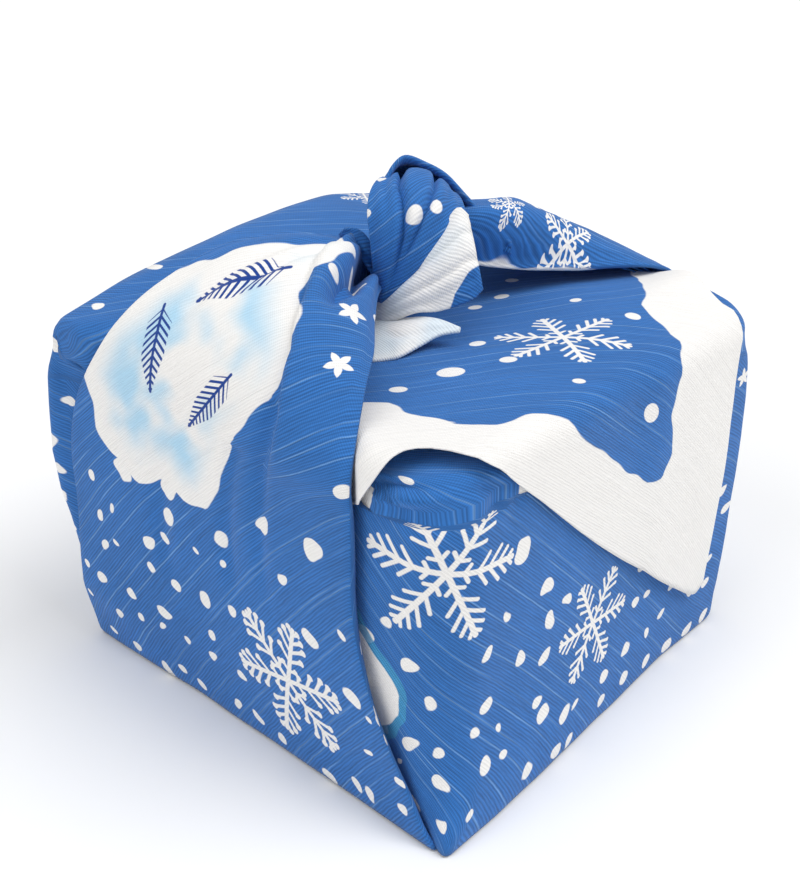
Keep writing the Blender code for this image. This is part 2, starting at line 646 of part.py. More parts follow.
def main():
    for old in list(bpy.data.objects):
        bpy.data.objects.remove(old, do_unlink=True)
    parts = collection_of("furoshiki_wrap")
    folds = collection_of("folds", helper=True)
    cloth, *joined = make_folds(folds)
    folds.objects.unlink(cloth)
    parts.objects.link(cloth)
    join_into(cloth, joined)
    cloth.data.materials.append(material_of("blue_cotton", (0.045, 0.16, 0.46), 0.85))
    box = box_object(parts)
    box.data.materials.append(material_of("plain_card", (0.62, 0.5, 0.36), 0.8))
    for made in (cloth, box):
        made.select_set(False)


main()
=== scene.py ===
"""The look of a wrapping cloth tied round a box, laid out as a Blender add-on.

Its panel makes the printed cloth, gives the box inside its card, and sets up the studio.
Sizes in the tables are millimetres, in the same frame as the solids.
"""

import math
from collections import namedtuple
from functools import reduce

import bpy
import numpy as np
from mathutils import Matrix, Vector


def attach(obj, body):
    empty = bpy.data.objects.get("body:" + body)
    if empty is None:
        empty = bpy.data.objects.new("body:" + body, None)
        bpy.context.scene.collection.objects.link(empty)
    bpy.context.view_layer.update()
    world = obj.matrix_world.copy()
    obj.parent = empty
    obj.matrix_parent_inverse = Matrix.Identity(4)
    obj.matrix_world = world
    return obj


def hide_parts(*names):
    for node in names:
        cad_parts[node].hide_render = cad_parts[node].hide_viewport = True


bl_info = {
    "name": "Furoshiki Wrap",
    "version": (1, 0, 0),
    "blender": (4, 5, 0),
    "location": "View3D > Sidebar > Wrap",
    "description": "Makes a printed wrapping cloth tied round a box, and a plain studio for it",
    "category": "Object",
}

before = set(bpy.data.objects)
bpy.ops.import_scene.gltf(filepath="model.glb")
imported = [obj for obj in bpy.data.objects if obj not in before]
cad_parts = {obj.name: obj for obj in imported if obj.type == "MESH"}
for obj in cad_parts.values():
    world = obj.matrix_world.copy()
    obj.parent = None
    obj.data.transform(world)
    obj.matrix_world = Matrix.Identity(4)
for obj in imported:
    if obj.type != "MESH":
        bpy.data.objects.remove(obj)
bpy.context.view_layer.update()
MM = 0.001

# ---------------------------------------------------------------------------
# Sizes of the wrap
# ---------------------------------------------------------------------------

HALF_W = 165.4 / 2
HALF_D = 167.6 / 2
GAP = 1.5  # from one folded layer to the next
OUTER_X = HALF_W - 0.5
INNER_X = OUTER_X - 2 * GAP
OUTER_Y = HALF_D - 0.5
FLOOR_Z = 0.6
FOOT_ROUND = 3.0  # the soft foot edge
HIDDEN_CORNER = 3.2  # round of a blade's corner behind a tied face
FIRST_Z = 120.5  # top of the first corner
FLAP_Z = 125.5  # top of the flap
BEND = 7.0  # round of the top edges
NEAR_WALL = 118.0  # cloth up the near face, from the box's bottom edge
FAR_WALL = 125.0  # the same up the far face
FOLD_BACK = 70.0  # y where the first corner is folded back on itself
FACE_COLUMNS = slice(16, 78)  # the columns of a blade that lie on its own face
FLAP_COLUMN = 80  # from here a column is folded under the flap's right side
FLAP_RIGHT = 75.0  # where the flap's right side is worked out, before it is brought to FLAP_EDGES
FLAP_UNDER = 34.0  # width of the strip that is folded under
FLAP_SKEW = 60.0  # how far the print runs aside from the far edge to the tip
KNOT_SIDE = np.array([0.671, -0.741, 0.0])  # across the knot, to the right as seen from its front
KNOT_FRONT = np.array([-0.741, -0.671, 0.0])  # toward the corner between the near and the left face
KNOT_MIDDLE = (-0.7, 149.8, 1.6)  # of the turns inside the knot, as side, up and front
KNOT_ROUND = 11.6
KNOT_HALF_HEIGHT = 16.8

# The folds beside the upright edges of a tied face, by height
Fold = namedtuple("Fold", "z near near_deep far far_deep corner")
FOLDS = (
    (0.6, 1.2, 3, 3, 3, 2), (6, 6.2, 9, 2.6, 9, 6), (17, 11.8, 28, 2, 28, 12), (30, 17.8, 46, 2.4, 46, 15),
    (45, 24.6, 62, 3.2, 62, 17), (62, 29.8, 66, 3.3, 66, 17), (77, 31.9, 64, 3.3, 64, 17),
    (90, 31.6, 62, 5.6, 62, 17), (104, 31.6, 56, 11.5, 56, 17), (118, 31.4, 50, 20, 50, 17),
)

# Outward swelling by height z: the tied faces, the far edges sideways and backward, the near right edge
SWELLS = (
    (0, 1.2, 0.5, 0, 0.5), (12, 2.8, 0.8, 0.2, 0.8), (24, 5, 1, 0.6, 2.6), (36, 4.8, 1.6, 2.2, 4.2),
    (48, 4.4, 3, 4.6, 5.2), (60, 4, 4.8, 7.2, 6.2), (75, 3.6, 5.8, 8.6, 7), (92, 2.6, 6, 7.2, 6.4),
    (104, 2.2, 6.2, 5.4, 4.6), (112, 1.8, 5.8, 4, 3.6), (120, 1, 5, 2.6, 3), (132, 0, 4, 1.6, 0),
)

# How much the cloth over the top stands above the flat: y, then the height at each x of PUFF_X
PUFF_X = (-80, -40, 0, 40, 78)
PUFFS = (
    (-84, 0, 0.3, 0.6, 0.6, 0), (-73, 0, 0.6, 1.8, 3, 5), (-62, 0, 1, 3.2, 6.5, 10.5),
    (-48, 0, 0.8, 3, 6.5, 7), (-30, 0, 0.5, 2.2, 5.5, 4.5), (5, 0, 0.5, 1.5, 5, 3.5),
    (40, 1, 5.5, 11, 12.5, 5), (62, 1.4, 9, 15, 16, 8), (82, 1.6, 10.5, 15.5, 17, 10),
)

# Lower edge of the flap, as x and run: negative run is still on the top, before the near edge
HEMS = (
    (-102, -34), (-92, -27.5), (-84, -22.5), (-77.5, -20.6), (-71.6, -18.4), (-67.6, -13.5), (-64.4, -4.5),
    (-58.8, 2), (-39.4, 20.3), (-5.2, 51.8), (25, 75.8), (50, 91.5), (62, 98), (70, 100.5), (75, 98.5),
)

# Right side of the flap, as run and x
FLAP_EDGES = (
    (-200, 75), (-60, 75), (-30, 73.5), (-18, 72), (-8, 69.5), (5, 67.4), (20, 66.8), (42, 67.6),
    (58, 66.8), (80, 65), (104, 63.2),
)

# A tie above the wall. A row is one section: x, y and z of the near edge and of the far edge, how far the
# cloth arches between them, where the arch is highest, and the strips folded under at each edge.
LEFT_TIE = (
    (-84, -51.9, 113, -82.6, 61.5, 119, 0.8, 0.5, 50, 50),
    (-80, -50.2, 123, -77.5, 54, 131.5, 2.2, 0.5, 46, 46),
    (-68, -43.5, 134.5, -66, 47, 142.5, 4.5, 0.5, 40, 40),
    (-52, -32, 138.5, -49.5, 36.5, 152.5, 6.5, 0.5, 30, 30),
    (-36.5, -17.5, 139.5, -34, 26.5, 155.5, 6.5, 0.5, 19, 19),
    (-24, -7, 140.5, -20.5, 18, 153.5, 4.5, 0.5, 10, 10), (-13, -1, 142, -10, 12, 149, 2.5, 0.5, 4, 4),
    (-3, 2, 144, -2, 8, 147, 1, 0.5, 3, 3),
)
RIGHT_TIE = (
    (84, 51.4, 113, 82.4, -61, 118, 0.8, 0.6, 50, 50), (78.5, 48.5, 125, 79.5, -53, 131, 3, 0.65, 46, 44),
    (64, 42, 139, 67.5, -47.5, 136.6, 5.4, 0.7, 40, 36), (44, 29, 151, 45, -33, 138, 13.6, 0.72, 28, 26),
    (26, 15, 157.5, 26.5, -21.5, 140, 18.5, 0.7, 16, 14), (13, 7, 158, 13.5, -13, 143.5, 13.5, 0.66, 5, 5),
    (3, 6, 155, 3, -2, 149, 4, 0.5, 3, 3),
)

# The knot's bands and free ends: the same, left edge first, each point in the knot's own directions as side,
# up and front
FRONT_BAND = (
    (-10.8, 129, 9, -8.8, 127, 12, 0.5, 0.5, 3, 3), (-11.3, 136, 14, -4.6, 134, 16.5, 1.6, 0.5, 4, 4),
    (-11.8, 146, 15, 2.6, 144, 18, 3.2, 0.5, 6, 6), (-12.6, 156, 14.5, 9.2, 153.5, 17.5, 4.6, 0.5, 7, 8),
    (-13.3, 164.5, 11.5, 15.5, 161, 13.5, 5.4, 0.5, 8, 9),
    (-12, 169.5, 5, 15.8, 164.5, 6.5, 5.6, 0.5, 8, 9), (-8.8, 170.5, -3, 13.5, 165.5, -3, 5, 0.5, 7, 8),
    (-6.5, 164, -9.5, 9.5, 160, -9.5, 4, 0.5, 6, 6), (-5.5, 153, -11.5, 6, 151, -11.5, 3, 0.5, 5, 5),
    (-4.5, 143, -9, 2.5, 142, -9.5, 1.5, 0.5, 3, 3),
)
BACK_BAND = (
    (33, 145, -5, 33, 148, -5, 1, 0.5, 3, 2), (25, 148, -6.5, 25.5, 155.5, -5, 2, 0.5, 4, 3),
    (17, 150, -8, 18, 163.5, -6, 3, 0.5, 5, 4), (10.5, 152, -12.5, 11.5, 170.2, -7, 4, 0.5, 6, 5),
    (4, 154, -15, 4.8, 174.2, -6.5, 4.4, 0.5, 6, 5), (-2.5, 154, -14.5, -2, 177, -4.5, 3.8, 0.5, 6, 5),
    (-8.5, 152, -9, -6.5, 174, -2, 3, 0.5, 5, 4), (-11.8, 150, -2, -9.5, 167.5, 1.5, 2, 0.5, 4, 4),
)
FRONT_END = (
    (-13.1, 132.2, 11, -12, 127.4, 17, 0.4, 0.5, 2, 3),
    (-7.5, 139.5, 14.5, -5.9, 132, 21.5, 1.4, 0.5, 2, 3), (-2.4, 145.5, 16, 1, 136.1, 25, 2.2, 0.5, 2, 3),
    (4.7, 153.8, 16.5, 8.1, 137.1, 26.5, 2.8, 0.5, 2, 2),
    (9.6, 159.8, 16, 14.8, 139.7, 27.5, 2.8, 0.5, 2, 2),
    (14.2, 165.2, 14.5, 19.1, 141.6, 27, 2.4, 0.5, 1, 1),
    (17.4, 163.2, 15.5, 21.8, 144.2, 26, 1.6, 0.5, 1, 1),
)
LOW_END = (
    (-12, 129, 14, -12.4, 127, 42, 0.6, 0.5, 2, 1), (-7.5, 130.5, 18.5, -7.6, 127.2, 41, 1, 0.5, 2, 1),
    (-1.5, 132.4, 22.5, -4, 127.8, 40.1, 1.3, 0.5, 1, 1), (4, 134, 26, 2.2, 129.6, 36.2, 1, 0.5, 1, 1),
    (9, 134.4, 29.4, 8.2, 132, 33.8, 0.6, 0.5, 1, 1), (14.6, 133.6, 33.6, 14.5, 133.3, 34, 0.1, 0.5, 1, 1),
)
PALE_FOLD = (
    (-23.5, 153, 1, -21.9, 155.4, 4, 0.3, 0.5, 1, 1), (-19.5, 151, 5, -18, 155.6, 5.5, 1.2, 0.5, 1, 1),
    (-16.2, 148, 8, -14.6, 153.5, 6.5, 1.8, 0.5, 1, 1), (-13.4, 144, 9.5, -12, 149, 7.5, 1.4, 0.5, 1, 1),
    (-12, 140, 10, -11, 143, 8.5, 0.5, 0.5, 1, 1),
)

# Creases: depth, width and points, as run along the strip and place across it. One with a reach is a step:
# it lifts the cloth on its lower side by minus its depth, over its reach, so that this laps over the rest.
Crease = namedtuple("Crease", "depth width points reach", defaults=(0,))
LEFT_CREASES = (
    Crease(-3.6, 1.1, (
        (92, -30), (106, -30), (117, -29), (129, -27), (139, -23), (146, -21), (154, -15), (163, -10),
        (173, -2), (182, 3), (196, 8),
    ), 26),
    Crease(13, 3.4, ((160, -19), (170, -14), (180, -12), (188, -8), (195, -4), (204, -1), (214, 0))),
    Crease(2, 2.2, ((146, 15), (154, 12), (163, 9), (178, 5), (196, 3))),
    Crease(1.6, 3, ((130, 32), (150, 24), (170, 15), (190, 8))),
    Crease(1.4, 4, ((46, 21), (60, 21), (80, 19), (100, 16))),
    Crease(1.6, 3.4, ((50, -11), (70, -12), (90, -13), (112, -14))),
    Crease(1.8, 3.2, ((56, -28), (75, -28), (100, -27), (132, -22))),
)
RIGHT_CREASES = (
    Crease(1.8, 4, ((120, 26), (150, 20), (175, 12), (195, 5))),
    Crease(1.4, 5, ((130, -6), (155, -3), (180, 0), (198, 1))),
    Crease(1, 7, ((60, 20), (90, 22), (120, 24))),
)
FRONT_BAND_CREASES = (
    Crease(3.6, 1.1, ((8, -0.6), (20, -0.9), (31, -1.3), (38, -3.6), (46, -6.2), (58, -6), (84, -4))),
    Crease(2.8, 1, ((12, 0.2), (20, 0.4), (31, 1.9), (38, 2.9), (46, 4.6), (58, 4.6), (84, 3))),
    Crease(1.3, 1.1, ((30, -7), (38, -8.6), (46, -10.4), (58, -9), (70, -7))),
    Crease(1, 1.3, ((26, 6), (36, 8.4), (44, 9.6), (54, 9))),
)
BACK_BAND_CREASES = (
    Crease(1.8, 1.4, ((0, 2), (20, 1.5), (35, 1), (60, 0))),
)
FRONT_END_CREASES = (
    Crease(1, 1.1, ((2, -1), (12, -2.5), (24, -4.5), (44, -6))),
    Crease(1.1, 1.2, ((2, 0.8), (12, 1.6), (24, 2), (46, 3))),
    Crease(0.8, 1.2, ((2, 2), (12, 4.4), (24, 7), (40, 8.5))),
)
LOW_END_CREASES = (
    Crease(0.7, 1.8, ((0, 0), (14, 2), (30, 1))),
)
# Creases of the near face's top, in millimetres of the flat cloth
NEAR_CREASES = (
    Crease(-3, 1.7, (
        (-160, -184), (-130, -189), (-112, -195), (-105, -199), (-97, -202.5), (-88, -205), (-80, -205.5),
        (-73, -206.2), (-69, -208.5), (-67, -212),
    )),
    Crease(1.3, 1.8, (
        (-160, -188), (-130, -193), (-112, -199), (-105, -203), (-97, -206.5), (-88, -209), (-80, -209.7),
        (-75, -210.7), (-71, -213),
    )),
    Crease(1.9, 2.6, ((-71, -212), (-64, -206), (-56, -201), (-50, -194), (-46, -186))),
    Crease(1.2, 4, ((-42, -200), (-34, -190), (-24, -180))),
)

# ---------------------------------------------------------------------------
# The print, in millimetres of the flat cloth from under the middle of the box
# ---------------------------------------------------------------------------

# White areas: the patch of cloth, how pale blue the middle is, and the outline
SNOWS = (
    ("far", 0, (
        (-89, 325), (-83, 334), (-88, 346), (-91, 357), (-85, 365), (-77, 368), (-69, 376), (-64, 385),
        (-55, 393), (-45, 403), (-37, 413), (-27, 416), (-21, 407), (-21, 393), (-15, 381), (-4, 372),
        (4, 364), (10, 354), (24, 346), (36, 340), (47, 331), (60, 318), (90, 318), (90, 420), (60, 520),
        (0, 520), (-60, 470), (-110, 410), (-135, 365), (-135, 330),
    )),
    ("left", 0.85, (
        (-204, 59), (-214, 57), (-222, 50), (-232, 46), (-241, 36), (-250, 24), (-262, 11), (-272, 6),
        (-272, -4), (-256, -6), (-244, -8), (-237, -17), (-228, -22), (-219, -22), (-208, -16),
        (-199, -12), (-187, -11), (-175, -8), (-166, -3), (-164, 8), (-169, 19), (-164, 30), (-170, 43),
        (-176, 52), (-187, 55), (-196, 61),
    )),
    ("near", 0, (
        (-130, -168), (-110, -159), (-102, -150), (-98, -143), (-93, -137), (-89, -131), (-89, -125),
        (-93, -119), (-100, -114), (-130, -106),
    )),
    ("right", 0, (
        (298, -12.6), (288, -12.6), (282, -14), (275, -17.2), (270, -20.3), (263, -24.8), (252, -33.1),
        (243, -39.5), (262, -60), (298, -40),
    )),
    ("front_end", 0.25, (
        (425, -20), (425, 20), (462, 18), (472, 8), (482, 4), (490, -4), (490, -20),
    )),
    ("low_end", 0.3, (
        (-425, -30), (-425, 30), (-500, 30), (-500, -30),
    )),
)

# A motif: its middle, size, turn in degrees, and how knobbed its twigs are
Mark = namedtuple("Mark", "u v size turn knob", defaults=(0, 0))


def marks(*rows):
    return [Mark(*row) for row in rows]


# Snowflakes; the size is the length of an arm
FLAKES = marks(
    (-24, 348, 18, 12, 0), (-75, -177, 24, 8, 0), (-117, -32, 23, 20, 1), (-5, -126, 19, 4, 0.3),
    (52, 224, 12, 15, 0.3), (273, -8, 6.5, 24, 1), (254, -27, 10.5, 2, 1), (40, 130, 24, 17, 0),
    (-38, 172, 22, 40, 1), (132, 20, 24, 33, 0.3), (176, -30, 20, 6, 1), (-30, 262, 20, 20, 0.6),
)
# Sprigs on the white patch; the size is the length
SPRIGS = marks(
    (-240, 14, 30, 48), (-212, 32, 27, -20), (-205, 2, 24, 25),
)
# Small five-armed stars; the size is the length of an arm
STARS = marks(
    (-250, -24, 4.6, 10), (-232, -36, 4.4, 40), (74.5, -184, 3.6, 50),
)
# Single dots; the size is the radius
SPOTS = marks(
    (337, 40, 2.4), (340, 46, 1.7), (351, 28, 1.4), (337, 25, 1.5), (-257, -8, 1.8), (-72, 218, 1.9),
    (-45, 215, 1.9), (-82, 180, 1.8), (21, 305, 2.1), (5, 311, 2.2), (-6, 309, 2), (6, 335, 1.7),
    (1, 356, 2.3), (-36, 329, 2.2), (-45, 344, 2.3), (-58, 335, 3.6), (-74, 330, 2.3), (-49, 367, 1.7),
    (-31, 388, 3.4), (-81, -213, 2.2), (-318, 4, 1.8), (-338, -3, 1.6),
)

# ---------------------------------------------------------------------------
# Shapes in mesh code
# ---------------------------------------------------------------------------


def ease(value, low, high):
    """0 below low, 1 above high, soft between."""
    t = np.clip((np.asarray(value, float) - low) / (high - low), 0, 1)
    return t * t * (3 - 2 * t)


def unit(vectors):
    return vectors / np.maximum(np.linalg.norm(vectors, axis=-1, keepdims=True), 1e-9)


def lengths(points):
    """How far each point is from the first, along the line through them."""
    return np.concatenate([[0], np.cumsum(np.linalg.norm(np.diff(points, axis=0), axis=1))])


def normals_of(grid):
    return unit(np.cross(np.gradient(grid, axis=1), np.gradient(grid, axis=0)))


def row_of(*columns):
    """One row of points from its columns; a single number counts for all of them."""
    return np.column_stack(np.broadcast_arrays(*columns))


def gap_of(at, keys):
    """The gap of a table that each value lies in, how wide it is, and the share of it that is passed."""
    at = np.clip(np.asarray(at, float), keys[0], keys[-1])
    k = np.clip(np.searchsorted(keys, at, side="right") - 1, 0, len(keys) - 2)
    span = keys[k + 1] - keys[k]
    return k, span, (at - keys[k]) / span


def cubic(t, low, high, low_slope, high_slope):
    return (
        (2 * t**3 - 3 * t**2 + 1) * low
        + (t**3 - 2 * t**2 + t) * low_slope
        + (3 * t**2 - 2 * t**3) * high
        + (t**3 - t**2) * high_slope
    )


def smooth(at, keys, values):
    """Catmull-Rom through the rows of a table, held at its ends."""
    keys, values = np.asarray(keys, float), np.asarray(values, float)
    k, span, t = gap_of(at, keys)
    if values.ndim > 1:
        span, t = span[:, None], t[:, None]
    slope = np.gradient(values, keys, axis=0)
    return cubic(t, values[k], values[k + 1], span * slope[k], span * slope[k + 1])


def swelling(points, edges=1.0):
    """Moves the soft upright edges outward. A tied face swells alone; edges tells how much the rest does."""
    x, y, z = np.moveaxis(points, -1, 0)
    keys, *ways = np.array(SWELLS, float).T
    panel, side, back, right = (np.interp(z, keys, way) for way in ways)
    side, back, right = side * edges, back * edges, right * edges
    left_face = ease(-x, 60, HALF_W - 6)
    right_face = ease(x, 60, HALF_W - 6)
    far = ease(y, HALF_D - 5, HALF_D - 0.5)
    nearside = ease(-y, HALF_D - 14, HALF_D - 2)
    moved = points.copy()
    moved[..., 0] -= left_face * (panel * ease(y, 10, HALF_D - 8) + side * far)
    moved[..., 0] += right_face * (panel * ease(-y, 10, HALF_D - 8) * 0.5 + right * nearside + 0.6 * side * far)
    moved[..., 1] += ease(y, HALF_D - 6, HALF_D - 0.5) * back * (left_face + 0.6 * right_face)
    # the foot of the near face stands out, most beside the near corner
    foot = (1 - ease(z, 0, 46)) * edges * ease(-y, HALF_D - 6, HALF_D - 1)
    moved[..., 1] -= foot * (0.6 + 4.2 * np.exp(-(((x + 58) / 62) ** 2)))
    moved[..., 0] -= foot * 3.0 * ease(-x, HALF_W - 14, HALF_W - 4)
    foot = np.clip((FOOT_ROUND - z) / FOOT_ROUND, 0, 0.6)
    tuck = FOOT_ROUND * (1 - np.sqrt(1 - foot**2))
    moved[..., 0] -= tuck * np.sign(x) * ease(np.abs(x), HALF_W - 25, HALF_W - 8)
    moved[..., 1] -= tuck * np.sign(y) * ease(np.abs(y), HALF_D - 25, HALF_D - 6)
    return moved


def rumple(points, normals, amount):
    """Small soft unevenness of cloth under slack, the same every time."""
    x, y, z = np.moveaxis(points, -1, 0)
    waves = (
        (0.55, 0.060, 0.021, 0.047, 0.3),
        (0.42, -0.034, 0.081, 0.052, 1.9),
        (0.30, 0.104, -0.067, 0.093, 4.1),
        (0.20, 0.133, 0.151, -0.117, 2.2),
        (0.12, -0.281, 0.193, 0.236, 5.0),
    )
    rise = sum(size * np.sin(a * x + b * y + c * z + phase) for size, a, b, c, phase in waves)
    return points + normals * (amount * rise)[..., None]


def puff(x, y):
    """Height of the soft top above its flat level."""
    x, y = np.broadcast_arrays(np.asarray(x, float), np.asarray(y, float))
    table, keys = np.array(PUFFS, float), np.array(PUFF_X, float)
    by_y = smooth(y.ravel(), table[:, 0], table[:, 1:])
    k, span, t = gap_of(x.ravel(), keys)
    slope = np.gradient(by_y, keys, axis=1)
    here = np.arange(len(k))
    ends = by_y[here, k], by_y[here, k + 1], slope[here, k] * span, slope[here, k + 1] * span
    return cubic(t, *ends).reshape(x.shape)


def fold_at(heights):
    """The fold row at each height."""
    rows = smooth(heights, [row[0] for row in FOLDS], FOLDS)
    return [Fold(z, *row[1:]) for z, row in zip(heights, rows)]


def blade_ring(fold, face):
    """Section of the near (face -1) or far (face 1) blade round the box, left to right seen from its face."""
    near_end = -HALF_D + fold.near + fold.near_deep
    far_end = HALF_D - fold.far - fold.far_deep
    corners = np.array([(INNER_X, -far_end), (INNER_X, -OUTER_Y), (-INNER_X, -OUTER_Y), (-INNER_X, near_end)])
    path = [corners[0]]
    for i, (radius, straight, arc) in enumerate(((HIDDEN_CORNER, 9, 6), (fold.corner, 62, 12), (0, 8, 0)), 1):
        into = unit(corners[i] - corners[i - 1])
        begin, end = path[-1], corners[i] - into * radius
        path += [begin + (end - begin) * k / straight for k in range(1, straight + 1)]
        for angle in np.arange(1, arc + 1) / max(arc, 1) * np.pi / 2:
            away = unit(corners[i + 1] - corners[i])
            path.append(end + away * radius * (1 - np.cos(angle)) + into * radius * np.sin(angle))
    return np.array(path) * -face


def face_rows(heights, face):
    """The sections of a blade up its face, and how far each column is round from the middle of the face."""
    rows = [row_of(*blade_ring(fold, face).T, fold.z) for fold in fold_at(heights)]
    u = lengths(rows[-1][:, :2])
    return rows, face * (u - np.interp(0.0, face * rows[-1][FACE_COLUMNS, 0], u[FACE_COLUMNS]))


def near_blade():
    """Near face, then over the top as the first corner, folded back on itself under the flap."""
    heights = np.concatenate([[FLOOR_Z, 2.0, 3.6], np.linspace(6, 107, 42)])
    rows, u = face_rows(heights, -1)
    flat = [row_of(u, -(HALF_D + z)) for z in heights]
    runs = [-4, -2.5, -1.2, 0, 1.2, 2.4, 3.6, 4.8, 6, 7.2, 8.4, 9.8]
    runs += [11.4, 13.4, 16, 20, 26, 36, 50, 66, 84, 104, 126, 146]
    bent = 12  # run of the bend at the top edge
    wide = np.where(u > 0, 72.0, 66.0)
    side = np.clip(np.abs(u) - wide, 0, None)
    x = np.sign(u) * np.minimum(np.abs(u), wide + np.where(u > 0, 11.0, 12.5) * (1 - np.exp(-side / 10)))
    low_left = 3.0 * ease(-x, 60, 78) ** 2
    for run in runs:
        angle = np.clip(run / bent, 0, 1) * np.pi / 2
        y = min(-OUTER_Y + BEND * (1 - np.cos(angle)) + max(run - bent, 0), FOLD_BACK)
        y = y + np.where(u > 0, 0.5, 0.75) * side * (1 - ease(run, 10, 40))
        z = FIRST_Z - BEND * (1 - np.sin(angle)) + min(run, 0)
        z = z - low_left + 3.6 * ease(x, 50, 70) - 2.4 * ease(x, 77, 83) ** 2
        z = z + 0.5 * puff(x, y) * ease(z, FIRST_Z - BEND, FIRST_Z)
        rows.append(row_of(x, y, z))
        flat.append(row_of(u, -(HALF_D + NEAR_WALL + max(run, 0))))
    top = z
    for turn in np.arange(1, 5) / 4 * np.pi:
        rows.append(row_of(x, FOLD_BACK + GAP * np.sin(turn), top + GAP * (1 - np.cos(turn)) * 0.6))
        flat.append(flat[-1] - [0, 1])
    for share, y in ((0.96, 56.0), (0.9, 30.0), (0.72, 4.0), (0.5, -22.0), (0.2, -48.0)):
        z = FIRST_Z + 1.8 + 0.5 * puff(x * share, y) - 3.0 * ease(-x * share, 60, 78) ** 2
        rows.append(row_of(x * share, y, z))
        flat.append(row_of(u * share, -(HALF_D + NEAR_WALL + runs[-1] + FOLD_BACK - y)))
    grid, flat = np.array(rows), np.array(flat)
    blend = ease(np.arange(len(grid)), len(heights) - 8, len(heights) + 3)[:, None, None]
    softened = grid.copy()
    for _ in range(6):
        softened[1:-1] = (softened[:-2] + 2 * softened[1:-1] + softened[2:]) / 4
    low = (grid[..., 2] < FIRST_Z - 3)[..., None]
    grid = np.where(low, grid * (1 - blend) + softened * blend, grid)
    return creased(swelling(grid), flat, NEAR_CREASES, (0, 0, 60)), flat


def flap_surface(x, run, layer):
    """Points of the flap, over arrays. Run is measured from the near top edge, down when positive."""
    x, run, layer = np.broadcast_arrays(*(np.asarray(value, float) for value in (x, run, layer)))
    x = x - 4.5 * ease(-run, 22, 60) * ease(x, 30, 70)
    near = -HALF_D - 1.2 - GAP * layer * ease(x, 5, 25)
    over = FLAP_Z + puff(np.clip(x, -80, 78), np.clip(-HALF_D - run, -84, 82)) - GAP * (1 - layer)
    far_run = run + 2 * HALF_D
    quarter = (run + BEND) / (BEND + 4) * np.pi / 2
    turn = 4.0
    far_quarter = (turn + 3 - far_run) / (turn + 3) * np.pi / 2
    # down the near face, round the near edge, over the top, round the far edge, or else down the far face
    cases = [run > 4, run > -BEND, far_run > turn + 3, far_run > 0]
    near_y, far_y = near + BEND - BEND * np.sin(quarter), OUTER_Y - turn + turn * np.sin(far_quarter)
    near_z, far_z = over - BEND * (1 - np.cos(quarter)), over - turn * (1 - np.cos(far_quarter))
    y = np.select(cases, [near, near_y, -HALF_D - run - 0.6, far_y], OUTER_Y)
    z = np.select(cases, [over - BEND - (run - 4), near_z, over, far_z], over - turn + far_run)
    # its left side bends down round the box's top edge
    far, tip = ease(y, 58, 72), 1 - ease(y, -56, -48)
    begin = 72.0 + 7.0 * far + 3.0 * tip
    side = np.maximum(-x - begin, 0.0)
    reach = 6.6 - 2.4 * far + 1.0 * tip
    arc = reach * np.pi / 2
    bend = np.minimum(side / arc, 1) * np.pi / 2
    drop = np.maximum(side - arc, 0) * (1 + 1.5 * far)
    x = np.where(side > 0, -begin - reach * np.sin(bend), x)
    z = np.where(side > 0, z - reach * (1 - np.cos(bend)) - drop / (1 + far * drop / 14), z)
    return np.stack([x, y, z], axis=-1)


def far_blade():
    """Far face, then the flap over the top and down the near face, its right side folded under."""
    heights = np.concatenate([[FLOOR_Z, 2.0, 3.6], np.linspace(6, 104, 28)])
    rows, u = face_rows(heights, 1)
    flat = [row_of(u, HALF_D + z) for z in heights]
    first, last_column = len(heights), len(u) - 1
    at = np.arange(len(u))
    past = np.clip((at - FLAP_COLUMN) / (last_column - FLAP_COLUMN), 0, 1)
    turn = np.clip(past / 0.35, 0, 1) * np.pi
    under = np.clip((past - 0.35) / 0.65, 0, 1)
    x = np.interp(at, [0, 9, 16, 74, FLAP_COLUMN, last_column], [-96, -84, -74, 66, FLAP_RIGHT, FLAP_RIGHT])
    x = x + np.where(past > 0, GAP / 2 * np.sin(turn), 0) - FLAP_UNDER * under
    layer = np.where(past > 0, (1 + np.cos(turn)) / 2, 1.0)
    far_top, near_top = -2 * HALF_D, 6
    hem = smooth(x, *np.array(HEMS).T) - 3.5 * ease(under, 0, 0.3)
    steps = [np.linspace(far_top - 14, far_top + 12, 12), np.linspace(far_top + 16, -22, 50)]
    body = []
    for run in np.concatenate([*steps, np.linspace(-19, near_top, 12)]):
        share = (run - far_top) / (near_top - far_top)
        short = far_top + (np.minimum(hem - 4, near_top) - far_top) * share
        body.append(np.where((hem < 10) & (share >= 0), short, run))
    body += [body[-1] + (hem - body[-1]) * share for share in np.linspace(0, 1, 36)[1:]]
    edge_run, edge_x = np.array(FLAP_EDGES).T
    for run in body:
        right = np.interp(run, edge_run, edge_x)
        fitted = np.where(x > 20, 20 + (x - 20) * (right - 20) / (FLAP_RIGHT - 20), x)
        rows.append(flap_surface(fitted, run, layer))
        flat_x = np.where(past > 0, 2 * FLAP_RIGHT - x, x) - FLAP_SKEW * ease(run, far_top, 100)
        flat.append(row_of(flat_x, HALF_D + FAR_WALL + run - far_top))
    grid = np.array(rows)
    for k in range(first, first + 9):
        share = ease(k, first - 1, first + 9)
        anchor = grid[first - 1].copy()
        anchor[:, 2] = min(104 + (k - first + 1) * 1.9, 119)
        grid[k] = anchor * (1 - share) + grid[k] * share
    edges = 1 - ease(np.arange(len(grid)), first, first + 10)[:, None]
    return swelling(grid, edges), np.array(flat)


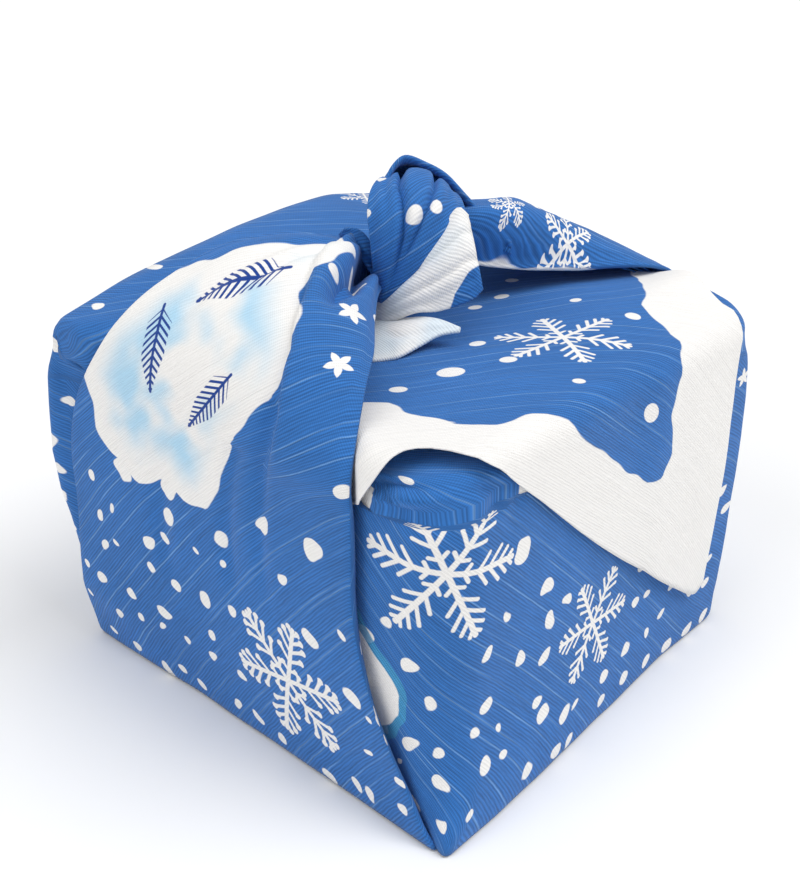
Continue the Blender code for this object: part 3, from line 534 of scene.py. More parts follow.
def crease_depth(crease, run, across):
    """How deep a crease is across one section; it fades in over its first third and runs out at its end."""
    line_run, line_across = np.array(crease.points, float).T
    first, last = line_run[0], line_run[-1]
    if not first <= run <= last:
        return 0.0
    away = across - np.interp(run, line_run, line_across)
    shape = np.exp(-((away / (crease.reach or crease.width)) ** 2))
    if crease.reach:
        shape = shape * (1 - ease(away, -crease.width, crease.width))
    return crease.depth * ease(run, first, first + 0.34 * (last - first)) * shape


def creased(grid, flat, creases, centre):
    """Moves the points of a patch in or out along its creases, given in flat millimetres."""
    normal = normals_of(grid)
    normal = normal * np.sign(np.sum(normal * (grid - np.array(centre, float)), axis=-1, keepdims=True))
    depth = np.zeros(grid.shape[:2])
    for crease in creases:
        line = np.array(crease.points, float)
        gone = lengths(line)
        nearest = np.full(depth.shape, 1e9)
        place = np.zeros(depth.shape)
        for start, end, run, step in zip(line, line[1:], gone, np.diff(gone)):
            share = np.clip(((flat - start) @ (end - start)) / step**2, 0, 1)
            away = np.linalg.norm(flat - start - share[..., None] * (end - start), axis=-1)
            place = np.where(away < nearest, run + share * step, place)
            nearest = np.minimum(nearest, away)
        fade = ease(place, 0, 0.3 * gone[-1]) * (1 - ease(place, 0.75 * gone[-1], gone[-1]))
        depth += crease.depth * fade * np.exp(-((nearest / crease.width) ** 2))
    return grid - normal * depth[..., None]


def fold_under(main, side, tail, parts, gap):
    """The end of a section turned back beneath it: a round turn, then a strip as long as the tail."""
    away = unit(main[0] - main[1])
    points = []
    for angle in np.arange(1, 4) / 4 * np.pi:
        points.append(main[0] + gap / 2 * (away * np.sin(angle) - side[0] * (1 - np.cos(angle))))
    inner = main - side * gap
    length = lengths(inner)
    for share in np.linspace(0, 1, parts):
        s = min(share * tail, length[-1] * 0.6)
        points.append([np.interp(s, length, inner[:, k]) for k in range(3)])
    return np.array(points)


def sections_of(rows):
    """Near edges, far edges and the rest of a table of sections."""
    table = np.array(rows, float)
    return table[:, :3], table[:, 3:6], table[:, 6:]


def section_shape(near, far, path, arch, lean, cols, centre, creases, run):
    """One section from edge to edge: its points, which way is out at each, and how far across each is."""
    share = np.linspace(0, 1, cols)
    width = np.linalg.norm(far - near)
    chord = (far - near) / width
    out = unit(np.cross(path, chord))
    out = out * np.sign(out @ ((near + far) / 2 - np.array(centre)))
    rise = arch * np.sin(np.pi * share ** (np.log(0.5) / np.log(lean))) ** 0.9
    for crease in creases:
        rise = rise - crease_depth(crease, run, (share - 0.5) * width)
    rise = rise * ease(np.minimum(share, 1 - share) * width, -0.01, 3.0)
    main = near + np.outer(share, chord) * width + np.outer(rise, out)
    tangent = unit(np.gradient(main, axis=0))
    return main, unit(out - tangent * (tangent @ out)[:, None]), share * width


def strip(sections, at, cols, creases=(), runs=None, centre=(0, 0, 90), parts=6, gap=GAP, plain=False):
    """A tie or a band of the knot: rows of sections with arch and grooves, and both edges folded under."""
    keys = np.arange(len(sections[0]))
    near, far, more = (smooth(at, keys, values) for values in sections)
    path = np.gradient((near + far) / 2, axis=0)
    ends = np.linspace(0, 1, parts + 3)
    grid, places, sides = [], [], []
    for i, (arch, lean, under_near, under_far) in enumerate(more):
        run = None if runs is None else runs[i]
        main, side, across = section_shape(near[i], far[i], path[i], arch, lean, cols, centre, creases, run)
        if not plain:
            head = fold_under(main, side, under_near, parts, gap)[::-1]
            foot = fold_under(main[::-1], side[::-1], under_far, parts, gap)
            width = across[-1]
            main = np.concatenate([head, main, foot])
            across = np.concatenate([-under_near * ends[::-1] - 0.5, across, width + under_far * ends + 0.5])
            places.append(across - width / 2)
        grid.append(main)
        sides.append(side)
    return np.array(grid), np.array(sides if plain else places)


def strip_along(sections, rows, cols, creases, **settings):
    """A strip of evenly spaced rows: its points, how far on each row is and how far across each point is."""
    length = lengths((sections[0] + sections[1]) / 2)
    keys = np.arange(len(length))
    at = np.interp(np.linspace(0, length[-1], rows), length, keys)
    run = np.interp(at, keys, length)
    grid, across = strip(sections, at, cols, creases, run, **settings)
    return grid, np.broadcast_to(run[:, None], across.shape), across


def tie_sections(table, sign):
    """The panel up the wall and the tie above it as one run of sections."""
    wall = []
    for fold in map(Fold._make, FOLDS[:-1]):
        near = (sign * (OUTER_X + 2.0 * ease(fold.z, 8, 40)), sign * (HALF_D - fold.near), fold.z)
        far = (sign * OUTER_X, -sign * (HALF_D - fold.far), fold.z)
        wall.append((*near, *far, 0.0, 0.5, fold.near_deep, fold.far_deep))
    return sections_of([*wall, *table])


def tie_blade(table, sign, creases, rows, cols):
    grid, run, across = strip_along(tie_sections(table, sign), rows, cols, creases, parts=8)
    return swelling(grid, 0.0), np.stack([sign * (HALF_W + run), -sign * across], axis=-1)


def liner(table, sign, end):
    """The slack folded away behind a tied face: two layers joined along a slanting fold low on the wall, going
    on up inside the tie, and a third turned back from its end."""
    main, side = strip(tie_sections(table, sign), np.linspace(len(FOLDS) - 2, end, 26), 17, plain=True)
    main, side = main[:, 1:-1], side[:, 1:-1]
    layers = []
    for level, least in ((2.7, 4.0), (3.6, 4.0), (4.5, 34.0)):
        tie = main - side * level * 1.35
        low = least + 0.3 * (sign * main[0, :, 1] + HALF_D)
        wall = [
            row_of(sign * (OUTER_X - 1.35 * level), tie[0, :, 1], low + (tie[0, :, 2] - low) * share)
            for share in np.linspace(0, 1, 24)[:-1]
        ]
        layers.append(np.concatenate([wall, tie]))
    outer, inner, third = layers
    turn = (outer[0] + inner[0]) / 2 - [0, 0, 1.2]
    end_turn = (inner[-1] + third[-1]) / 2 + (inner[-1] - inner[-2]) * 0.3
    grid = np.concatenate([outer[::-1], turn[None], inner, end_turn[None], third[::-1]])
    flat = np.stack([sign * (HALF_W + grid[..., 2]), grid[..., 1] + 200], axis=-1)
    return swelling(grid, 0.0), flat


def knot_point(side, up, front):
    return np.outer(side, KNOT_SIDE) + np.outer(front, KNOT_FRONT) + np.outer(up, [0, 0, 1])


def band_blade(table, rows, cols, creases, centre, start, way):
    """A band or free end of the knot; its print begins at start and runs along or against u."""
    left, right, more = sections_of(table)
    sections = knot_point(*left.T), knot_point(*right.T), more
    grid, run, across = strip_along(sections, rows, cols, creases, centre=centre, parts=4, gap=1.1)
    return grid, np.stack([start[0] + way * run, start[1] + way * across], axis=-1)


def knot_core():
    """The turns of cloth inside the knot, as one rounded lump with a few folds round it."""
    down, way = np.meshgrid(np.linspace(0.12, np.pi - 0.12, 26), np.linspace(0, 2 * np.pi, 31), indexing="ij")
    reach = 1 + 0.07 * np.sin(5 * way + 2.4 * down) + 0.03 * np.sin(3 * way - 4 * down)
    round_out = KNOT_ROUND * np.sin(down) ** 0.62 * reach
    side, up, front = KNOT_MIDDLE
    side, front = side + round_out * np.cos(way), front - round_out * np.sin(way)
    up = up + KNOT_HALF_HEIGHT * np.cos(down)
    grid = knot_point(side.ravel(), up.ravel(), front.ravel()).reshape(down.shape + (3,))
    return grid, np.stack([620 + 9.6 * way, 15.5 * down], axis=-1)


def bottom_sheet():
    across, along = (np.linspace(-(half - 3.2), half - 3.2, 30) for half in (HALF_W, HALF_D))
    x, y = np.meshgrid(across, along)
    return np.stack([x, y, np.full(x.shape, 0.35)], axis=-1), np.stack([x, y], axis=-1)


Patch = namedtuple("Patch", "name thickness rumple grid flat")


def cloth_patches(depth):
    centre = knot_point([0], [150], [2])[0]
    end_centre = knot_point([6], [120], [0])[0]
    soft = 0.2 * depth
    bands = (
        ("front_band", 0.5, soft, FRONT_BAND, 60, 34, FRONT_BAND_CREASES, centre, (300, 40), 1),
        ("back_band", 0.5, soft, BACK_BAND, 44, 22, BACK_BAND_CREASES, centre, (-300, 0), -1),
        ("front_end", 0.5, soft, FRONT_END, 40, 26, FRONT_END_CREASES, end_centre, (440, 0), 1),
        ("low_end", 0.5, soft, LOW_END, 30, 20, LOW_END_CREASES, end_centre, (-440, 0), -1),
        ("pale_fold", 0.4, 0.0, PALE_FOLD, 16, 10, (), centre, (500, 40), 1),
    )
    return [
        Patch("bottom", 0.6, 0.0, *bottom_sheet()),
        Patch("near", 0.5, depth, *near_blade()),
        Patch("far", 0.5, depth, *far_blade()),
        Patch("left", 0.5, depth, *tie_blade(LEFT_TIE, -1, LEFT_CREASES, 92, 62)),
        Patch("right", 0.5, depth, *tie_blade(RIGHT_TIE, 1, RIGHT_CREASES, 84, 52)),
        Patch("left_liner", 0.4, 0.0, *liner(LEFT_TIE, -1, 13.0)),
        Patch("right_liner", 0.4, 0.0, *liner(RIGHT_TIE, 1, 12.0)),
        *(Patch(*first, *band_blade(*rest)) for *first, rest in ((*band[:3], band[3:]) for band in bands)),
        Patch("knot_core", 0.4, 0.0, *knot_core()),
    ]


def depth_inside(points, outline):
    """How far each point is inside a closed outline, negative outside."""
    ends = np.array(outline, float)
    near = np.full(len(points), 1e9)
    odd = np.zeros(len(points), bool)
    for a, b in zip(np.roll(ends, 1, axis=0), ends):
        along = b - a
        share = np.clip((points - a) @ along / (along @ along), 0, 1)
        near = np.minimum(near, np.linalg.norm(points - a - share[:, None] * along, axis=1))
        if a[1] != b[1]:
            crosses = (a[1] > points[:, 1]) != (b[1] > points[:, 1])
            odd ^= crosses & (points[:, 0] < a[0] + (points[:, 1] - a[1]) * along[0] / along[1])
    return np.where(odd, near, -near)


def snow_of(name, points):
    """For each flat point of a patch: depth inside its white areas, and how pale blue it is there."""
    depth = np.full(len(points), -30.0)
    pale = np.zeros(len(points))
    for patch, tint, outline in SNOWS:
        if patch == name:
            inside = depth_inside(points, outline)
            pale = np.where(inside > depth, tint * ease(inside, 3, 17), pale)
            depth = np.maximum(depth, inside)
    return depth, pale


def closed_sheet(grid, thickness):
    """Both faces and the rim of a thin sheet: points, quads."""
    rows, cols, _ = grid.shape
    offset = normals_of(grid) * thickness / 2
    points = np.concatenate([grid + offset, grid - offset]).reshape(-1, 3)
    index = np.arange(rows * cols).reshape(rows, cols)
    under = index + rows * cols

    def quads(*corners):
        return np.stack(corners, axis=-1).reshape(-1, 4)

    faces = [
        quads(index[:-1, :-1], index[:-1, 1:], index[1:, 1:], index[1:, :-1]),
        quads(under[:-1, :-1], under[1:, :-1], under[1:, 1:], under[:-1, 1:]),
    ]
    for rim in ((0,), (-1, slice(None, None, -1)), (slice(None, None, -1), 0), (slice(None), -1)):
        upper, lower = index[rim], under[rim]
        faces.append(quads(upper[:-1], lower[:-1], lower[1:], upper[1:]))
    faces = np.concatenate(faces)
    corner = points[np.concatenate([faces[:, [0, 1, 2]], faces[:, [0, 2, 3]]])]
    volume = np.einsum("ij,ij->i", corner[:, 0], np.cross(corner[:, 1], corner[:, 2])).sum()
    return points, faces if volume > 0 else faces[:, ::-1]


def cloth_object(name, patches):
    """One mesh of all the patches, with the flat cloth as its UV map and the white areas as attributes."""
    made, count = [], 0
    for patch in patches:
        grid = rumple(patch.grid, normals_of(patch.grid), patch.rumple)
        grid[..., 2] = np.maximum(grid[..., 2], patch.thickness / 2 + 0.02)
        points, quads = closed_sheet(grid, patch.thickness)
        flat = np.concatenate([patch.flat.reshape(-1, 2)] * 2).astype(float)
        made.append((points, quads + count, flat, *snow_of(patch.name, flat)))
        count += len(points)
    points, faces, flat, snow, pale = (np.concatenate(parts) for parts in zip(*made))
    points[:, 2] = np.maximum(points[:, 2], 0.0)
    mesh = bpy.data.meshes.new(name)
    mesh.vertices.add(len(points))
    mesh.vertices.foreach_set("co", (points * MM).ravel())
    mesh.loops.add(faces.size)
    mesh.loops.foreach_set("vertex_index", faces.ravel())
    mesh.polygons.add(len(faces))
    mesh.polygons.foreach_set("loop_start", np.arange(0, faces.size, 4))
    mesh.polygons.foreach_set("loop_total", np.full(len(faces), 4))
    mesh.update(calc_edges=True)
    mesh.uv_layers.new(name="FlatCloth").data.foreach_set("uv", (flat[faces.ravel()] * MM).ravel())
    for title, values in (("Snow", snow), ("PaleBlue", pale)):
        kept = mesh.attributes.new(title, "FLOAT", "POINT")
        kept.data.foreach_set("value", values.astype(np.float32))
    mesh.polygons.foreach_set("use_smooth", np.ones(len(faces), bool))
    mesh.validate()
    cloth = bpy.data.objects.new(name, mesh)
    bpy.context.scene.collection.objects.link(cloth)
    return cloth


# ---------------------------------------------------------------------------
# Materials
# ---------------------------------------------------------------------------

WHITE = (0.9, 0.885, 0.865, 1)
PALE_BLUE = (0.36, 0.66, 0.88, 1)
SLUB_BLUE = (0.35, 0.6, 0.88, 1)
RIM_BLUE = (0.05, 0.3, 0.55, 1)
SPRIG_NAVY = (0.006, 0.05, 0.28, 1)
FLAKE_REACH = 1.16  # how far a flake's twigs reach, in lengths of its arm
NOWHERE = (9, 9, 9)
# A flake's twigs: where on the arm, length and slant in degrees
TWIGS = ((0.2, 0.13, 58), (0.38, 0.26, 50), (0.56, 0.3, 46), (0.74, 0.22, 46), (0.9, 0.12, 42))
# First and second input and output of a Mix node, by what it mixes
MIX_SOCKETS = {"FLOAT": (2, 3, 0), "VECTOR": (4, 5, 1), "RGBA": (6, 7, 2)}
VECTOR_SOCKETS = ("Place", "Middle")  # of the node groups; their other sockets hold a number


class Value:
    """An output of a node. Sums with it add maths nodes to its tree."""

    def __init__(self, socket):
        self.socket, self.tree = socket, socket.id_data

    def __add__(self, other):
        return maths("ADD", self, other)

    def __sub__(self, other):
        return maths("SUBTRACT", self, other)

    def __rsub__(self, other):
        return maths("SUBTRACT", other, self)

    def __mul__(self, other):
        return maths("MULTIPLY", self, other)

    def __truediv__(self, other):
        return maths("DIVIDE", self, other)

    def __lt__(self, other):
        return maths("LESS_THAN", self, other)

    def __gt__(self, other):
        return maths("GREATER_THAN", self, other)


def put(socket, value):
    """Links a Value to a socket, or sets a constant; None leaves the socket alone."""
    if isinstance(value, Value):
        value.tree.links.new(value.socket, socket)
    elif value is not None:
        socket.default_value = value


def node(tree, kind, inputs=(), **settings):
    """A new node with its settings and its inputs, by name or number."""
    made = tree.nodes.new(kind)
    for key, value in settings.items():
        setattr(made, key, value)
    for key, value in dict(inputs).items():
        put(made.inputs[key], value)
    return made


def value_of(tree, kind, output, inputs=(), **settings):
    return Value(node(tree, kind, inputs, **settings).outputs[output])


def maths(operation, *values):
    tree = next(value.tree for value in values if isinstance(value, Value))
    return value_of(tree, "ShaderNodeMath", 0, enumerate(values), operation=operation)


def highest(values):
    return reduce(lambda a, b: maths("MAXIMUM", a, b), values)


def vector(operation, a, b=None, scale=None):
    output = 1 if operation == "LENGTH" else 0
    return value_of(a.tree, "ShaderNodeVectorMath", output, {0: a, 1: b, 3: scale}, operation=operation)


def distance(place, mark):
    return vector("LENGTH", vector("SUBTRACT", place, (mark.u, mark.v, 0)))


def split(place):
    made = node(place.tree, "ShaderNodeSeparateXYZ", {"Vector": place})
    return Value(made.outputs["X"]), Value(made.outputs["Y"])


def join(x, y):
    return value_of(x.tree, "ShaderNodeCombineXYZ", "Vector", {"X": x, "Y": y})


def soft(value, low, high):
    """0 below low, 1 above high."""
    inputs = {"Value": value, "From Min": low, "From Max": high}
    return value_of(value.tree, "ShaderNodeMapRange", "Result", inputs, interpolation_type="SMOOTHSTEP")


def noise(place, scale, detail=1.0, output="Fac", dimensions="2D"):
    inputs = {"Vector": place, "Scale": scale, "Detail": detail}
    return value_of(place.tree, "ShaderNodeTexNoise", output, inputs, noise_dimensions=dimensions)


def mix(factor, a, b, kind="RGBA"):
    first, second, output = MIX_SOCKETS[kind]
    return value_of(factor.tree, "ShaderNodeMix", output, {0: factor, first: a, second: b}, data_type=kind)


def material_of(name):
    made = bpy.data.materials.new(name)
    made.use_nodes = True
    return made, made.node_tree, made.node_tree.nodes["Principled BSDF"]


def finish(shader, colour, height, depth, strength, roughness):
    """Puts a colour and a bump on a shader."""
    put(shader.inputs["Base Color"], colour)
    put(shader.inputs["Roughness"], roughness)
    inputs = {"Height": height, "Distance": depth, "Strength": strength}
    put(shader.inputs["Normal"], value_of(height.tree, "ShaderNodeBump", "Normal", inputs))


def new_group(name, inputs, outputs):
    """An empty node group, its inputs as Values and the sockets of its outputs."""
    group = bpy.data.node_groups.new(name, "ShaderNodeTree")
    for way, titles in (("INPUT", inputs), ("OUTPUT", outputs)):
        for title in titles.split():
            kind = "NodeSocketVector" if title in VECTOR_SOCKETS else "NodeSocketFloat"
            group.interface.new_socket(name=title, in_out=way, socket_type=kind)
    sockets = node(group, "NodeGroupInput").outputs
    given = {title: Value(sockets[title]) for title in inputs.split()}
    return group, given, node(group, "NodeGroupOutput").inputs


def use(group, **inputs):
    """The outputs of a group placed in the tree that its Place comes from."""
    made = node(inputs["Place"].tree, "ShaderNodeGroup", inputs, node_tree=group)
    return {socket.name: Value(socket) for socket in made.outputs}


def segment(x, y, start, angle, length):
    """Distance to a short straight line, and how far along it."""
    c, s = math.cos(angle), math.sin(angle)
    dx = x - start
    along, across = dx * c + y * s, y * c - dx * s
    held = maths("MINIMUM", maths("MAXIMUM", along, 0.0), length)
    return vector("LENGTH", join(along - held, across)), held / length


def mirrored(place, arms):
    """Angle from the nearest arm, and distance from the middle."""
    x, y = split(place)
    return maths("PINGPONG", maths("ARCTAN2", y, x), math.pi / arms), vector("LENGTH", join(x, y))


def snowflake_group():
    """A six-armed flake with slanting twigs, its arms one long."""
    group, given, out = new_group("Snowflake", "Place Knob", "Mask")
    angle, radius = mirrored(given["Place"], 6)
    x, y = radius * maths("COSINE", angle), radius * maths("SINE", angle)
    rise = 0.038 - segment(x, y, 0.0, 0.0, 1.0)[0]
    for start, length, slant in TWIGS:
        away, share = segment(x, y, start, math.radians(slant), length)
        width = maths("POWER", share, 8.0) * given["Knob"] * 0.028 + 0.027
        rise = maths("MAXIMUM", rise, width - away)
    put(out["Mask"], soft(rise, -0.008, 0.008))
    return group


def sprig_group():
    """A fir sprig, one long, growing along x about its middle."""
    group, given, out = new_group("FirSprig", "Place", "Mask")
    x, y = split(vector("ADD", given["Place"], (0.5, 0, 0)))
    side = maths("ABSOLUTE", y)
    stem = soft(0.022 - segment(x, y, 0.0, 0.0, 1.0)[0], -0.006, 0.006)
    needle = soft(maths("PINGPONG", x * 11.0 - side * 9.0, 0.5), 0.24, 0.32)
    reach = maths("MINIMUM", maths("MINIMUM", (1.08 - x) * 0.42, 0.2), (x - 0.03) * 1.1)
    within = soft(reach - side, 0.0, 0.02) * (1.0 - soft(x, 1.0, 1.04))
    put(out["Mask"], maths("MAXIMUM", stem, needle * within))
    return group


def star_group():
    """A small plain star with five blunt arms, its arms one long."""
    group, given, out = new_group("Star", "Place", "Mask")
    angle, radius = mirrored(given["Place"], 5)
    put(out["Mask"], soft(1.0 - angle * 0.95 - radius, -0.05, 0.05))
    return group


def dots_group():
    """Snow dots: each cell of the spacing may hold one uneven round dot."""
    group, given, out = new_group("SnowDots", "Place Spacing Least Most Share", "Mask Middle")
    spacing = given["Spacing"]
    wobble = vector("SUBTRACT", noise(given["Place"], 0.09, output="Color"), (0.5, 0.5, 0.5))
    place = vector("ADD", given["Place"], vector("SCALE", wobble, scale=5.5))
    place = vector("SCALE", place, scale=maths("DIVIDE", 1.0, spacing))
    inputs = {"Vector": place, "Scale": 1.0, "Randomness": 0.72}
    cells = node(group, "ShaderNodeTexVoronoi", inputs, voronoi_dimensions="2D").outputs
    chance = node(group, "ShaderNodeSeparateColor", {"Color": Value(cells["Color"])}).outputs
    radius = mix(Value(chance["Red"]), given["Least"], given["Most"], "FLOAT")
    rise = radius - Value(cells["Distance"]) * spacing
    put(out["Mask"], soft(rise, -0.22, 0.22) * (Value(chance["Green"]) < given["Share"]))
    put(out["Middle"], vector("SCALE", Value(cells["Position"]), scale=spacing))
    return group


def weave_group():
    """Ribs of the weft with finer warp across, and thicker, paler threads here and there."""
    group, given, out = new_group("RibbedWeave", "Place Pitch", "Height Shade Slub")
    x, y = split(given["Place"])
    across, along = (x - y) * math.sqrt(0.5), (x + y) * math.sqrt(0.5)
    turned = join(along, across)

    def streaks(along_scale, across_scale, detail=1.0):
        return noise(vector("MULTIPLY", turned, (along_scale, across_scale, 0)), 1.0, detail)

    def cells(inputs, **settings):
        return value_of(group, "ShaderNodeTexVoronoi", "Distance", {"Scale": 1.0, **inputs}, **settings)

    bent = across + streaks(0.007, 0.013) * 2.4
    rib = maths("SINE", (bent + streaks(0.16, 0.9) * 0.5) / given["Pitch"] * math.tau)
    warp = maths("SINE", along / (given["Pitch"] * 0.62) * math.tau)
    streak = streaks(0.05, 2.2, 2.0)
    place = vector("MULTIPLY", join(along * 0.012, bent), (1, 0.11, 0))
    patchy = cells({"Vector": place, "Randomness": 1.0}, voronoi_dimensions="2D", distance="CHEBYCHEV")
    thread = cells({"W": bent * 0.17, "Randomness": 0.9}, voronoi_dimensions="1D")
    slub = 1.0 - soft(thread / 0.17, 0.08, 0.36)
    slub = slub * (soft(streaks(0.02, 0.3), 0.42, 0.56) * 0.75 + 0.25) * soft(patchy, -1.0, 0.2)
    put(out["Height"], rib * 0.6 + warp * 0.25 + slub * 0.8 + streak * 0.8)
    put(out["Shade"], rib * 0.5 + warp * 0.22 + (streak - 0.5) * 1.6)
    put(out["Slub"], slub)
    return group


def chain(place, marks_on, reach):
    """Place as seen by the mark that it is in, one long, or far off when it is in none."""
    local = NOWHERE
    for mark in marks_on:
        inputs = {"Vector": place, "Location": (mark.u, mark.v, 0), "Rotation": (0, 0, math.radians(mark.turn))}
        inputs["Scale"] = (mark.size,) * 3
        seen = value_of(place.tree, "ShaderNodeMapping", "Vector", inputs, vector_type="TEXTURE")
        local = mix(vector("LENGTH", seen) < reach, local, seen, "VECTOR")
    return local


def cotton(settings):
    """Printed cotton: blue ground, snow dots, flakes, white areas with a wavy edge, and the weave."""
    material, tree, shader = material_of("printed_cotton")
    flat = value_of(tree, "ShaderNodeUVMap", "UV", uv_map="FlatCloth")
    place = vector("SCALE", flat, scale=1000.0)
    x, y = split(place)
    knob = highest((distance(place, flake) < flake.size * FLAKE_REACH) * flake.knob for flake in FLAKES)
    flakes = use(snowflake_group(), Place=chain(place, FLAKES, FLAKE_REACH), Knob=knob)["Mask"]
    # the first flake stops at the lip's edge, where the cloth is lapped
    across = maths("MINIMUM", maths("MAXIMUM", x, -120.0), -60.0) + 80.0
    flakes = flakes * (y > across * across * 0.011 - 204.0)
    dots = dots_group()

    def scatter(shift, **sizes):
        """One scatter of dots: its mask without dots that touch a flake, and how far out its dots are."""
        made = use(dots, Place=vector("ADD", place, shift), **sizes)
        middle = vector("SUBTRACT", made["Middle"], shift)
        mask = made["Mask"]
        for flake in FLAKES:
            mask = mask * (distance(middle, flake) > flake.size * 1.04 + 1.5)
        return mask, highest(maths("ABSOLUTE", part) for part in split(middle))

    fine, fine_out = scatter((0.0, 0.0, 0.0), Spacing=13.5, Least=1.3, Most=2.9, Share=0.86)
    large, large_out = scatter((37.0, 61.0, 0.0), Spacing=24.0, Least=2.4, Most=4.4, Share=0.62)
    large = large * (large_out > 162.0) * (large_out < 288.0)
    spots = soft(highest(mark.size - distance(place, mark) for mark in SPOTS), -0.2, 0.2)
    stars = use(star_group(), Place=chain(place, STARS, 1.3))["Mask"]
    print_mask = highest((fine * (fine_out < 157.0), large, flakes, stars, spots))

    snow = value_of(tree, "ShaderNodeAttribute", "Fac", attribute_name="Snow")
    pale = value_of(tree, "ShaderNodeAttribute", "Fac", attribute_name="PaleBlue")
    edge = snow + (noise(place, 0.055) - 0.5) * 7.0
    snow_mask = soft(edge, -0.3, 0.3)
    # the pale rim is only round the white patch beside the near corner
    rim = soft(edge, -3.8, -3.2) * (maths("ABSOLUTE", y + 137.0) < 30.0) * (x < -84.0)
    sprigs = use(sprig_group(), Place=chain(place, SPRIGS, 0.56))["Mask"] * snow_mask
    wash = pale * soft(noise(place, 0.035, 2.0), 0.36, 0.6)

    weave = use(weave_group(), Place=place, Pitch=0.95)
    bright = (*(v * 1.08 for v in settings.ground), 1)
    base = mix(soft(noise(place, 0.02), 0.3, 0.7), (*settings.ground, 1), bright)
    base = mix(weave["Slub"] * 0.26, base, SLUB_BLUE)
    base = mix(print_mask, base, WHITE)
    base = mix(rim * 0.85, base, RIM_BLUE)
    base = mix(snow_mask, base, mix(wash, WHITE, PALE_BLUE))
    base = mix(sprigs, base, SPRIG_NAVY)
    contrast = mix(maths("MAXIMUM", print_mask, snow_mask), 0.4, 0.07, "FLOAT")
    base = vector("SCALE", base, scale=weave["Shade"] * contrast + 1.0)
    finish(shader, base, weave["Height"], depth=0.00009, strength=0.8, roughness=0.82)
    put(shader.inputs["Specular IOR Level"], 0.3)
    put(shader.inputs["Sheen Weight"], 0.12)
    return material


def card(settings):
    """Plain uncoated card: faint fibres and soft blotches."""
    material, tree, shader = material_of("plain_card")
    place = vector("SCALE", value_of(tree, "ShaderNodeTexCoord", "Object"), scale=1000.0)
    fibre = noise(vector("MULTIPLY", place, (0.4, 0.4, 2.4)), 1.0, 3.0, dimensions="3D")
    blotch = noise(place, 0.035, 2.0, dimensions="3D")
    deep = (*(v * 0.8 for v in settings.colour), 1)
    base = mix(soft(blotch, 0.3, 0.7), deep, (*settings.colour, 1))
    base = vector("SCALE", base, scale=fibre * 0.16 + 0.92)
    finish(shader, base, fibre, depth=0.0001, strength=0.4, roughness=0.85)
    return material


# ---------------------------------------------------------------------------
# Settings and operators
# ---------------------------------------------------------------------------

# Suns: name, where they stand, strength
SUNS = (
    ("key", (0.45, -0.75, 1.25), 1.58),
    ("side", (-1.2, 0.3, 0.9), 0.72),
    ("top", (-0.1, 0.1, 1.4), 0.58),
)
SUN_ANGLE = 0.7
SKY_STRENGTH = 0.42
CAMERA_PLACE = (-0.2798, -0.2483, 0.2713)
CAMERA_AZIMUTH = math.radians(42.15)
CAMERA_DIP = math.radians(27.59)


class WrapClothSettings(bpy.types.PropertyGroup):
    slack: bpy.props.FloatProperty(
        name="Slack",
        description="How far the cloth is from smooth",
        default=0.00045,
        min=0.0,
        max=0.002,
        precision=5,
        unit="LENGTH",
    )
    ground: bpy.props.FloatVectorProperty(
        name="Ground", description="Colour of the cloth's ground", subtype="COLOR", default=(0.025, 0.144, 0.44)
    )


class WrapBoxSettings(bpy.types.PropertyGroup):
    colour: bpy.props.FloatVectorProperty(
        name="Card", description="Colour of the box's card", subtype="COLOR", default=(0.6, 0.5, 0.37)
    )


class WrapStageSettings(bpy.types.PropertyGroup):
    floor: bpy.props.FloatVectorProperty(
        name="Floor", description="Colour of the floor", subtype="COLOR", default=(0.95, 0.95, 0.95)
    )
    lens: bpy.props.FloatProperty(name="Lens", description="Focal length", default=48.3, min=10, unit="CAMERA")


class WRAP_OT_cloth(bpy.types.Operator):
    """Makes the printed cloth, folded round the box and knotted"""

    bl_idname = "wrap.cloth"
    bl_label = "Cloth"

    def execute(self, context):
        settings = context.scene.wrap_cloth
        cloth = cloth_object("wrapping_cloth", cloth_patches(settings.slack / MM))
        cloth.data.materials.append(cotton(settings))
        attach(cloth, "root")
        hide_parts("cloth")
        return {"FINISHED"}


class WRAP_OT_box(bpy.types.Operator):
    """Gives the box inside the cloth its plain card"""

    bl_idname = "wrap.box"
    bl_label = "Box"

    def execute(self, context):
        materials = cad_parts["box"].data.materials
        materials.clear()
        materials.append(card(context.scene.wrap_box))
        return {"FINISHED"}


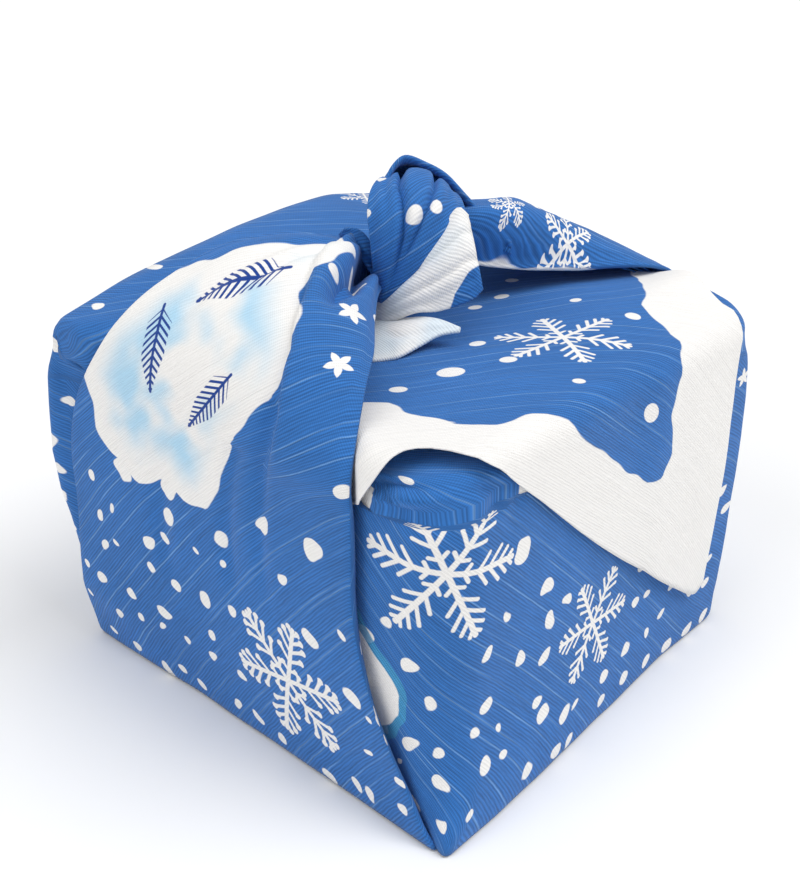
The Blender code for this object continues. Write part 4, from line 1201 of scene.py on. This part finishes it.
class WRAP_OT_stage(bpy.types.Operator):
    """Sets up the floor, the soft lights and the camera"""

    bl_idname = "wrap.stage"
    bl_label = "Studio"

    def execute(self, context):
        scene, settings = context.scene, context.scene.wrap_stage
        bpy.ops.mesh.primitive_plane_add(size=30, location=(0, 0, -0.0002))
        floor = context.object
        floor.name = "studio_floor"
        material, _, shader = material_of("studio_floor")
        put(shader.inputs["Base Color"], (*settings.floor, 1))
        put(shader.inputs["Roughness"], 0.9)
        floor.data.materials.append(material)
        scene.world = bpy.data.worlds.new("studio")
        scene.world.use_nodes = True
        tree = scene.world.node_tree
        background = tree.nodes["Background"]
        put(background.inputs["Color"], (1, 1, 1, 1))
        seen = value_of(tree, "ShaderNodeLightPath", "Is Camera Ray")
        put(background.inputs["Strength"], mix(seen, SKY_STRENGTH, 1.0, "FLOAT"))
        for name, place, strength in SUNS:
            bpy.ops.object.light_add(type="SUN", location=place)
            light = context.object
            light.name = name
            light.data.angle = SUN_ANGLE
            light.data.energy = strength
            light.rotation_euler = (-Vector(place)).to_track_quat("-Z", "Y").to_euler()
        data = bpy.data.cameras.new("camera")
        data.lens = settings.lens
        camera = bpy.data.objects.new("camera", data)
        scene.collection.objects.link(camera)
        camera.location = CAMERA_PLACE
        level = math.cos(CAMERA_DIP)
        forward = (math.cos(CAMERA_AZIMUTH) * level, math.sin(CAMERA_AZIMUTH) * level, -math.sin(CAMERA_DIP))
        camera.rotation_euler = Vector(forward).to_track_quat("-Z", "Y").to_euler()
        scene.camera = camera
        scene.view_settings.view_transform = "Standard"
        return {"FINISHED"}


SETTINGS = {"wrap_cloth": WrapClothSettings, "wrap_box": WrapBoxSettings, "wrap_stage": WrapStageSettings}
OPERATORS = (WRAP_OT_stage, WRAP_OT_cloth, WRAP_OT_box)


class WRAP_PT_panel(bpy.types.Panel):
    bl_idname = "WRAP_PT_panel"
    bl_label = "Furoshiki Wrap"
    bl_space_type = "VIEW_3D"
    bl_region_type = "UI"
    bl_category = "Wrap"

    def draw(self, context):
        for name, kind in SETTINGS.items():
            for key in kind.__annotations__:
                self.layout.prop(getattr(context.scene, name), key)
        for operator in OPERATORS:
            self.layout.operator(operator.bl_idname)


CLASSES = (*SETTINGS.values(), *OPERATORS, WRAP_PT_panel)


def register():
    for made in CLASSES:
        bpy.utils.register_class(made)
    for name, kind in SETTINGS.items():
        setattr(bpy.types.Scene, name, bpy.props.PointerProperty(type=kind))


def unregister():
    for name in SETTINGS:
        delattr(bpy.types.Scene, name)
    for made in reversed(CLASSES):
        bpy.utils.unregister_class(made)


def main():
    register()
    bpy.ops.wrap.stage()
    bpy.ops.wrap.cloth()
    bpy.ops.wrap.box()
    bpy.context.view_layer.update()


if __name__ == "__main__":
    main()
